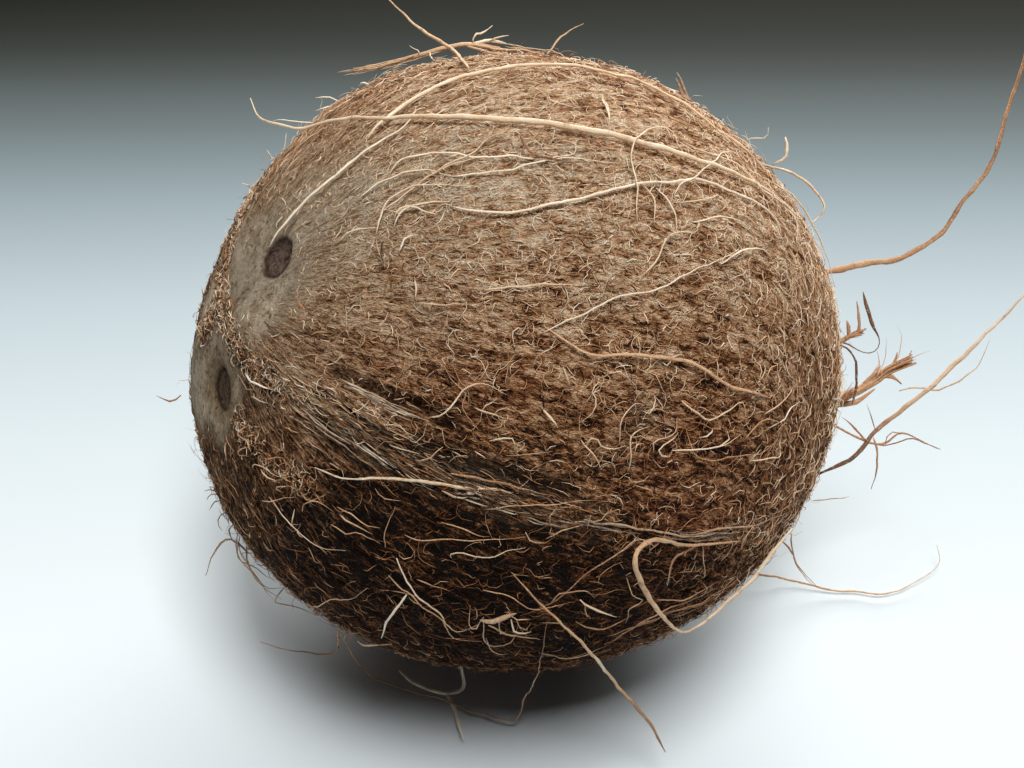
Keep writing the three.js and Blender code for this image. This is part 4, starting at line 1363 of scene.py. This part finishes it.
looseHairs = dict(  # thin ends that stand off the outline, each with its tone and route
    radius=0.14, grey=0.5, routes=[
        (0.42, [(45.5, 166.5, 0.3), (49.3, 165.5, 3), (51.4, 163.9, 1.8), (53.6, 162.3, 1.2),
         (55.4, 160.9, 0.3)]),
        (0.38, [(48, 166, 0.3), (50.1, 164.9, 2.1), (53.3, 162.4, 2.7), (55, 161.2, 2.7),
         (56.6, 160, 0.9)]),
        (0.4, [(40.3, 174.4, 0.2), (40.1, 174.4, 1.4), (40.3, 172.5, 2.6)]),
        (0.4, [(42.2, 172.2, 0.2), (42.3, 172.1, 1.5), (42.9, 169.8, 2.5), (43.8, 168.9, 2.4)]),
        (0.4, [(39.3, 175.5, 0.2), (39, 175.8, 1.2), (38.8, 174.1, 2.2)]),
        (0.4, [(38.8, 176.1, 0.2), (37.6, 175.6, 0.9), (37.5, 175.6, 2)]),
        (0.4, [(44.5, 170.5, 0.2), (44.9, 169.9, 1.6), (46.4, 168, 1.9)]),
        (1.0, [(43.1, -43.8, 0.2), (42.6, -44.5, 1.5), (41.4, -44, 2.5), (40, -45.5, 3.7)]),
        (1.0, [(41.7, -45, 0.2), (41.3, -45.5, 0.9), (40.6, -46.3, 1.2), (39.3, -47.7, 1.9)]),
        (1.0, [(38, -48.5, 0.2), (36.8, -50.2, 1.6), (35.7, -51.9, 3.5), (34.6, -51.4, 4.7),
         (33.7, -52.5, 5.3)]),
        (0.95, [(32.4, -57.7, 0.2), (32.7, -57.5, 0.6), (33.6, -56.3, 1), (34.2, -53.4, 2.2)]),
        (0.85, [(26.8, -71.1, 0.2), (27.1, -70.6, 0.8), (26.3, -69.4, 1.5), (26.2, -69.8, 2.4)]),
        (1.0, [(48.1, -39.7, 0.2), (47.9, -39.9, 0.8), (46.4, -39.7, 1.8)]),
        (0.9, [(31.2, -59.8, 0.2), (30.9, -60.4, 0.8), (30.6, -58.6, 2), (30.8, -58.4, 2.6)]),
        (0.55, [(138.5, 75.6, 0.5), (138.8, 73.3, 3.3), (138.1, 70.7, 5.9)]),
        (0.45, [(136, 85.8, 0.3), (135.1, 88, 1.4), (134.2, 90.2, 3.5), (132.5, 91.2, 7.2),
         (132.2, 91.5, 9.7)]),
        (0.66, [(45.8, 168.7, 0.4), (47.8, 166.8, 2.1), (49.8, 165.1, 2.8), (53.3, 162.4, 2.8),
         (57.8, 159.1, 3.4)]),
        (0.6, [(46.5, 168, 0.4), (47.8, 166.9, 1.8), (51.1, 164.1, 2.4), (54.8, 161.3, 3), (58, 159, 2.4)]),
        (0.55, [(57, 160, 0.4), (57.6, 159.2, 3.6), (60.5, 158.6, 2.0), (65, 157, 0.6)]),
        (0.9, [(109, -4, 0.3), (109.4, -3.2, 2), (110.4, -2.3, 3.4), (109.7, -3, 4.9)])]
)

ribbons = dict(  # weathered fibres pressed side by side along the seam
    main=dict(count=34, width=1.7, tones=(0.45, 0.85), route=[(14, 80), (16.8, 81.5), (21.8, 83.5),
        (26.2, 84.6), (34.8, 84.4), (42.7, 84.6), (47.5, 85), (52.4, 85.6), (57, 84.6)]),
    lower=dict(count=12, width=1.1, tones=(0.3, 0.62), route=[(20, 87.5), (25.6, 89.4), (30.7, 88),
        (38, 87.6), (43.8, 88), (48, 88)]),
    upper=dict(count=8, width=0.6, tones=(0.5, 0.8), route=[(30, 75), (36.8, 74.2), (41.8, 74.4),
        (48, 74.2), (52, 75)]),
    middle=dict(count=14, width=1.1, tones=(0.35, 0.7), route=[(24.8, 77.4), (33.7, 78), (39.3, 78.2),
        (45.7, 79.6), (51, 81)]),
    flat=dict(count=12, width=0.7, tones=(0.55, 0.85), route=[(52, 85.6), (56.8, 84.8), (60.1, 83.4),
        (63.5, 82.2)]),
    band=dict(count=10, width=0.8, tones=(0.5, 0.8), route=[(57, 84.8), (61.3, 84.2), (64.9, 84),
        (67.5, 83.4)]),
    bandTwo=dict(count=12, width=0.8, tones=(0.4, 0.66), route=[(66.5, 83.6), (72.8, 82.9), (77.4, 81.6),
        (83.2, 81), (90, 80.4)]),
    bandThree=dict(count=12, width=0.8, tones=(0.3, 0.5), route=[(88, 80.6), (95, 80.4), (102, 79),
        (110, 78)]),
)

strandMake = dict(
    step=1.0 * mm,
    sides=7,
    thinSides=5,
    thinRadius=0.24,  # millimetres
    wander=0.28 * mm,
    wanderShare=0.5,
    thinWanderShare=0.8,
    wanderWaves=[(11, 0.6), (4.7, 0.3), (2.3, 0.12)],  # each wave's length in millimetres, and its share
    swellWaves=[(5.1, 0.6), (2.2, 0.4)],
    toneWaves=[(13, 0.6), (5, 0.4)],
    swell=0.16,
    toneSwing=0.05,
    endTaper=0.3,
    ridged=0.14,
    manySplinters=8,
    core=0.9,
    splitCore=0.62,  # with many splinters
    splinterWidths=(0.14, 0.34),
    splinterSpread=(0.3, 1.2),
    splinterTones=(-0.1, 0.14),
    groupWidths=(0.85, 1.15),
    groupTones=(-0.1, 0.08),
    ribbonWidths=(0.1, 0.2),  # millimetres
    ribbonGreys=(0.6, 1.0),
    endLift=0.5,  # where a grouped fibre meets the felt, in millimetres
)


def smoothRoute(points, step):  # a centripetal spline through the points, in even steps
    points = np.asarray(points)
    padded = np.vstack([2 * points[0] - points[1], points, 2 * points[-1] - points[-2]])
    line = []
    for a, b, c, d in zip(padded[:-3], padded[1:-2], padded[2:-1], padded[3:]):
        ab, bc, cd = (math.sqrt(np.linalg.norm(q - p)) for p, q in ((a, b), (b, c), (c, d)))
        outgoing = ((b - a) / ab - (c - a) / (ab + bc) + (c - b) / bc) * bc
        incoming = ((c - b) / bc - (d - b) / (bc + cd) + (d - c) / cd) * bc
        t = np.linspace(0, 1, 24, endpoint=False)[:, None]
        line.append((2 * t**3 - 3 * t**2 + 1) * b + (t**3 - 2 * t**2 + t) * outgoing
                    + (3 * t**2 - 2 * t**3) * c + (t**3 - t**2) * incoming)
    line = np.vstack(line + [points[-1:]])
    gone = np.concatenate([[0], np.cumsum(np.linalg.norm(np.diff(line, axis=0), axis=1))])
    even = np.linspace(0, gone[-1], max(4, round(gone[-1] / step)))
    return np.stack([np.interp(even, gone, axis) for axis in line.T], 1), even


def softNoise(even, waves):  # a smooth wander along a fibre, about -1 to 1
    total = np.zeros(len(even))
    for wave, share in waves:
        turns = even / (wave * mm) * 2 * math.pi * rng.uniform(0.85, 1.2)
        total += share * np.sin(turns + rng.uniform(0, 2 * math.pi))
    return total


def evenStops(share, values):  # values spread evenly along a fibre
    return np.interp(share, np.linspace(0, 1, len(values)), values)


def routeFrames(line):  # two directions across the line, which turn no more than they have to
    ahead = unit(np.gradient(line, axis=0))
    side = np.cross(ahead[0], (0.3, 0.2, 0.9))
    sides = []
    for direction in ahead:
        side = side - direction * (side @ direction)
        side = side / np.linalg.norm(side)
        sides.append(side)
    return np.array(sides), np.cross(ahead, sides)


class StrandMesh:  # gathers tubes, then becomes one mesh
    def __init__(self):
        self.points, self.faces, self.uvs, self.tones, self.greys, self.columns = [], [], [], [], [], []

    def addTube(self, line, even, radii, tones, sides, grey=0.0):
        across, over = routeFrames(line)
        turn = np.arange(sides) / sides * 2 * math.pi
        ring = across[:, None] * np.cos(turn)[None, :, None] + over[:, None] * np.sin(turn)[None, :, None]
        ridged = 1 + strandMake["ridged"] * np.sin(turn * 3 + rng.uniform(0, 6))[None, :]
        start = sum(len(part) for part in self.points)
        column = len(self.points)
        count = len(line)
        self.points.append((line[:, None] + ring * (radii[:, None] * ridged)[..., None]).reshape(-1, 3))
        self.tones.append(np.repeat(tones, sides))
        self.greys.append(np.full(count * sides, grey))
        share = even / even[-1]
        for i in range(count - 1):
            for j in range(sides):
                k = (j + 1) % sides
                here, ahead = start + i * sides, start + (i + 1) * sides
                left, right = j / sides, (j + 1) / sides
                low, high = share[i:i + 2]
                self.faces.append([here + j, here + k, ahead + k, ahead + j])
                self.uvs.append([(left, low), (right, low), (right, high), (left, high)])
        for end, row in ((0, 0), (1, count - 1)):
            cap = [start + row * sides + j for j in range(sides)]
            spots = [(0.5 + 0.4 * math.cos(a), end + (0.01 - 0.02 * end) * (1 + math.sin(a))) for a in turn]
            self.faces.append(cap if end else cap[::-1])
            self.uvs.append(spots if end else spots[::-1])
        self.columns += [column] * ((count - 1) * sides + 2)

    def finish(self, name, material):
        mesh = bpy.data.meshes.new(name)
        mesh.from_pydata(np.vstack(self.points).tolist(), [], self.faces)
        mesh.shade_smooth()
        tubes = len(self.points)
        layer = mesh.uv_layers.new(name="OFBake", do_init=False)
        spots = [((column + 0.06 + 0.88 * u) / tubes, 0.01 + 0.98 * v)
                 for column, face in zip(self.columns, self.uvs) for u, v in face]
        layer.uv.foreach_set("vector", np.array(spots, np.float32).ravel())
        addAttribute(mesh, "tone", np.concatenate(self.tones))
        addAttribute(mesh, "weathered", np.concatenate(self.greys))
        mesh.materials.append(material)
        return addToScene(name, mesh)


def addSplinters(strands, strand, line, frames, even, tones, core):  # thinner fibres that part from it
    make = strandMake
    radius, count, grey = strand["radius"] * mm, strand["fray"], strand.get("grey", 0.0)
    many = count > make["manySplinters"]
    across, over = frames
    share = even / even[-1]
    for _ in range(count):
        first = rng.uniform(0, 0.45) if many else rng.uniform(strand.get("frayFrom", 0), 0.7)
        last = 1.0 if many else min(strand.get("frayTo", 1.0), first + rng.uniform(0.3, 0.6))
        rows = (share >= first) & (share <= last)
        if rows.sum() < 4:
            continue
        part = (share[rows] - first) / (last - first)
        angle = rng.uniform(0, 2 * math.pi)
        spread = strand.get("spread", 0.5) * rng.uniform(*make["splinterSpread"])
        off = radius * (0.65 * core + spread * part**2)
        bend = angle + rng.uniform(-0.8, 0.8) * part
        aside = across[rows] * (off * np.cos(bend))[:, None]
        splinter = line[rows] + aside + over[rows] * (off * np.sin(bend))[:, None]
        if many:
            swing = strand.get("shorten", 0.16) * rng.uniform(-1, 1)
            splinter += (line[rows][-1] - line[rows][0]) * (swing * part**2)[:, None]
        thick = radius * rng.uniform(*make["splinterWidths"]) * (1 - 0.75 * part)
        shades = tones[rows] + rng.uniform(*make["splinterTones"])
        strands.addTube(splinter, even[rows], thick, shades, make["thinSides"], grey)


def addStrand(strands, strand):
    make = strandMake
    along, around, lift = np.array(strand["route"], float).T
    line, even = smoothRoute(nutPlace(along, around, lift * mm), make["step"])
    frames = routeFrames(line)
    thin = strand["radius"] < make["thinRadius"]
    share = even / even[-1]
    hold = np.clip(np.minimum(share, 1 - share) * 6, 0, 1)
    wander = make["wander"] * make["thinWanderShare" if thin else "wanderShare"]
    for direction in frames:
        line = line + direction * (softNoise(even, make["wanderWaves"]) * wander * hold)[:, None]
    taper = 1 - (1 - make["endTaper"]) * (smoothstep(share, 0.5, 1.0) + smoothstep(-share, -0.12, 0.0) * 0.6)
    if "widths" in strand:
        ends = 1 - 0.5 * (smoothstep(share, 0.93, 1.0) + smoothstep(-share, -0.05, 0.0))
        taper = evenStops(share, strand["widths"]) * ends
    swell = 1 + make["swell"] * softNoise(even, make["swellWaves"])
    tones = evenStops(share, strand.get("tones", (strand["tone"], strand.get("toneEnd", strand["tone"]))))
    tones = tones + make["toneSwing"] * softNoise(even, make["toneWaves"])
    core = make["splitCore" if strand.get("fray", 0) > make["manySplinters"] else "core"]
    radii = strand["radius"] * mm * core * taper * swell
    sides = make["thinSides" if thin else "sides"]
    strands.addTube(line, even, radii, tones, sides, strand.get("grey", 0.0))
    if "fray" in strand:
        addSplinters(strands, strand, line, frames, even, tones, core)
    for branch in strand.get("branches", ()):
        addStrand(strands, branch)


def addGroup(strands, group):
    for route in group["routes"]:
        lifts = [group["lift"]] * len(route)
        lifts[0] = lifts[-1] = strandMake["endLift"]
        radius = group["radius"] * rng.uniform(*strandMake["groupWidths"])
        tone = group["tone"] + rng.uniform(*strandMake["groupTones"])
        lifted = [(*spot, lift) for spot, lift in zip(route, lifts)]
        addStrand(strands, dict(radius=radius, tone=tone, grey=group.get("grey", 0.0), route=lifted))


def addRibbon(strands, ribbon):
    route = np.array(ribbon["route"], float)
    gone = np.concatenate([[0], np.cumsum(np.hypot(*np.diff(route, axis=0).T))])
    for _ in range(ribbon["count"]):
        first = rng.uniform(0, 0.55)
        last = min(1.0, first + rng.uniform(0.3, 0.6))
        spots = np.linspace(first, last, 6) * gone[-1]
        along = np.interp(spots, gone, route[:, 0])
        aside = ribbon["width"] * (rng.uniform(-1, 1) + rng.uniform(-0.12, 0.12, 6))
        turn = np.degrees(aside / (girth * np.sin(np.radians(along))))
        around = np.interp(spots, gone, route[:, 1]) + turn
        lift = rng.uniform(0.3, 1.1) + np.array([-0.5, 0, 0, 0, 0, -0.5])
        addStrand(strands, dict(
            radius=rng.uniform(*strandMake["ribbonWidths"]),
            tone=rng.uniform(*ribbon["tones"]),
            grey=rng.uniform(*strandMake["ribbonGreys"]),
            route=np.stack([along, around, lift], 1),
        ))


strandLook = dict(
    stops=ramp(
        (0.0, 40, 26, 18), (0.2, 92, 62, 42), (0.4, 146, 102, 70), (0.55, 182, 136, 98),
        (0.7, 208, 170, 132), (0.85, 230, 202, 168), (1.0, 250, 236, 214),
    ),
    greys=ramp(
        (0.0, 36, 28, 22), (0.25, 92, 76, 62), (0.5, 152, 132, 112), (0.75, 204, 186, 164),
        (1.0, 250, 242, 228),
    ),
    dark=rgb(120, 80, 54),
    pale=rgb(252, 240, 220),
    roughness=0.7,
    specular=0.2,
    bumpStrength=0.5,
    bumpDistance=0.25 * mm,
)


def makeStrandMaterial():
    material, tree = newMaterial("husk_strand")
    look = strandLook
    place = objectPlace(tree)
    tone, grey = (addField(tree, "ShaderNodeAttribute", output="Fac", attribute_name=name)
                  for name in ("tone", "weathered"))
    mottle = place.noise(700.0, 3.0, 0.6)
    streak = place.noise(2600.0, 2.0, 0.6)
    colour = mixColour(tree, grey, tone.coloured(look["stops"]), tone.coloured(look["greys"]))
    mottled = mottle.eased(0.52, 0.72, 0.0, 0.55) * tone.eased(0.75, 1.0, 1.0, 0.35)
    colour = mixColour(tree, mottled, colour, look["dark"])
    colour = mixColour(tree, streak.eased(0.5, 0.75, 0.0, 0.35), colour, look["pale"])
    finishMaterial(material, look, colour, mottle + streak)
    return material


strandMaterial = makeStrandMaterial()
for name, strand in looseFibres.items():
    strands = StrandMesh()
    addStrand(strands, strand)
    piece = strands.finish(name + "_strand", strandMaterial)
    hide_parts(name)
    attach(piece, "root")
strands = StrandMesh()
for strand in lyingFibres.values():
    addStrand(strands, strand)
for group in lyingGroups.values():
    addGroup(strands, group)
for ribbon in ribbons.values():
    addRibbon(strands, ribbon)
for tone, route in looseHairs["routes"]:
    addStrand(strands, dict(radius=looseHairs["radius"], tone=tone, grey=looseHairs["grey"], route=route))
piece = strands.finish("felt_lying_strands", strandMaterial)
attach(piece, "root")
print("loose and lying strands are made;", len(piece.data.polygons), "faces lie on the felt")
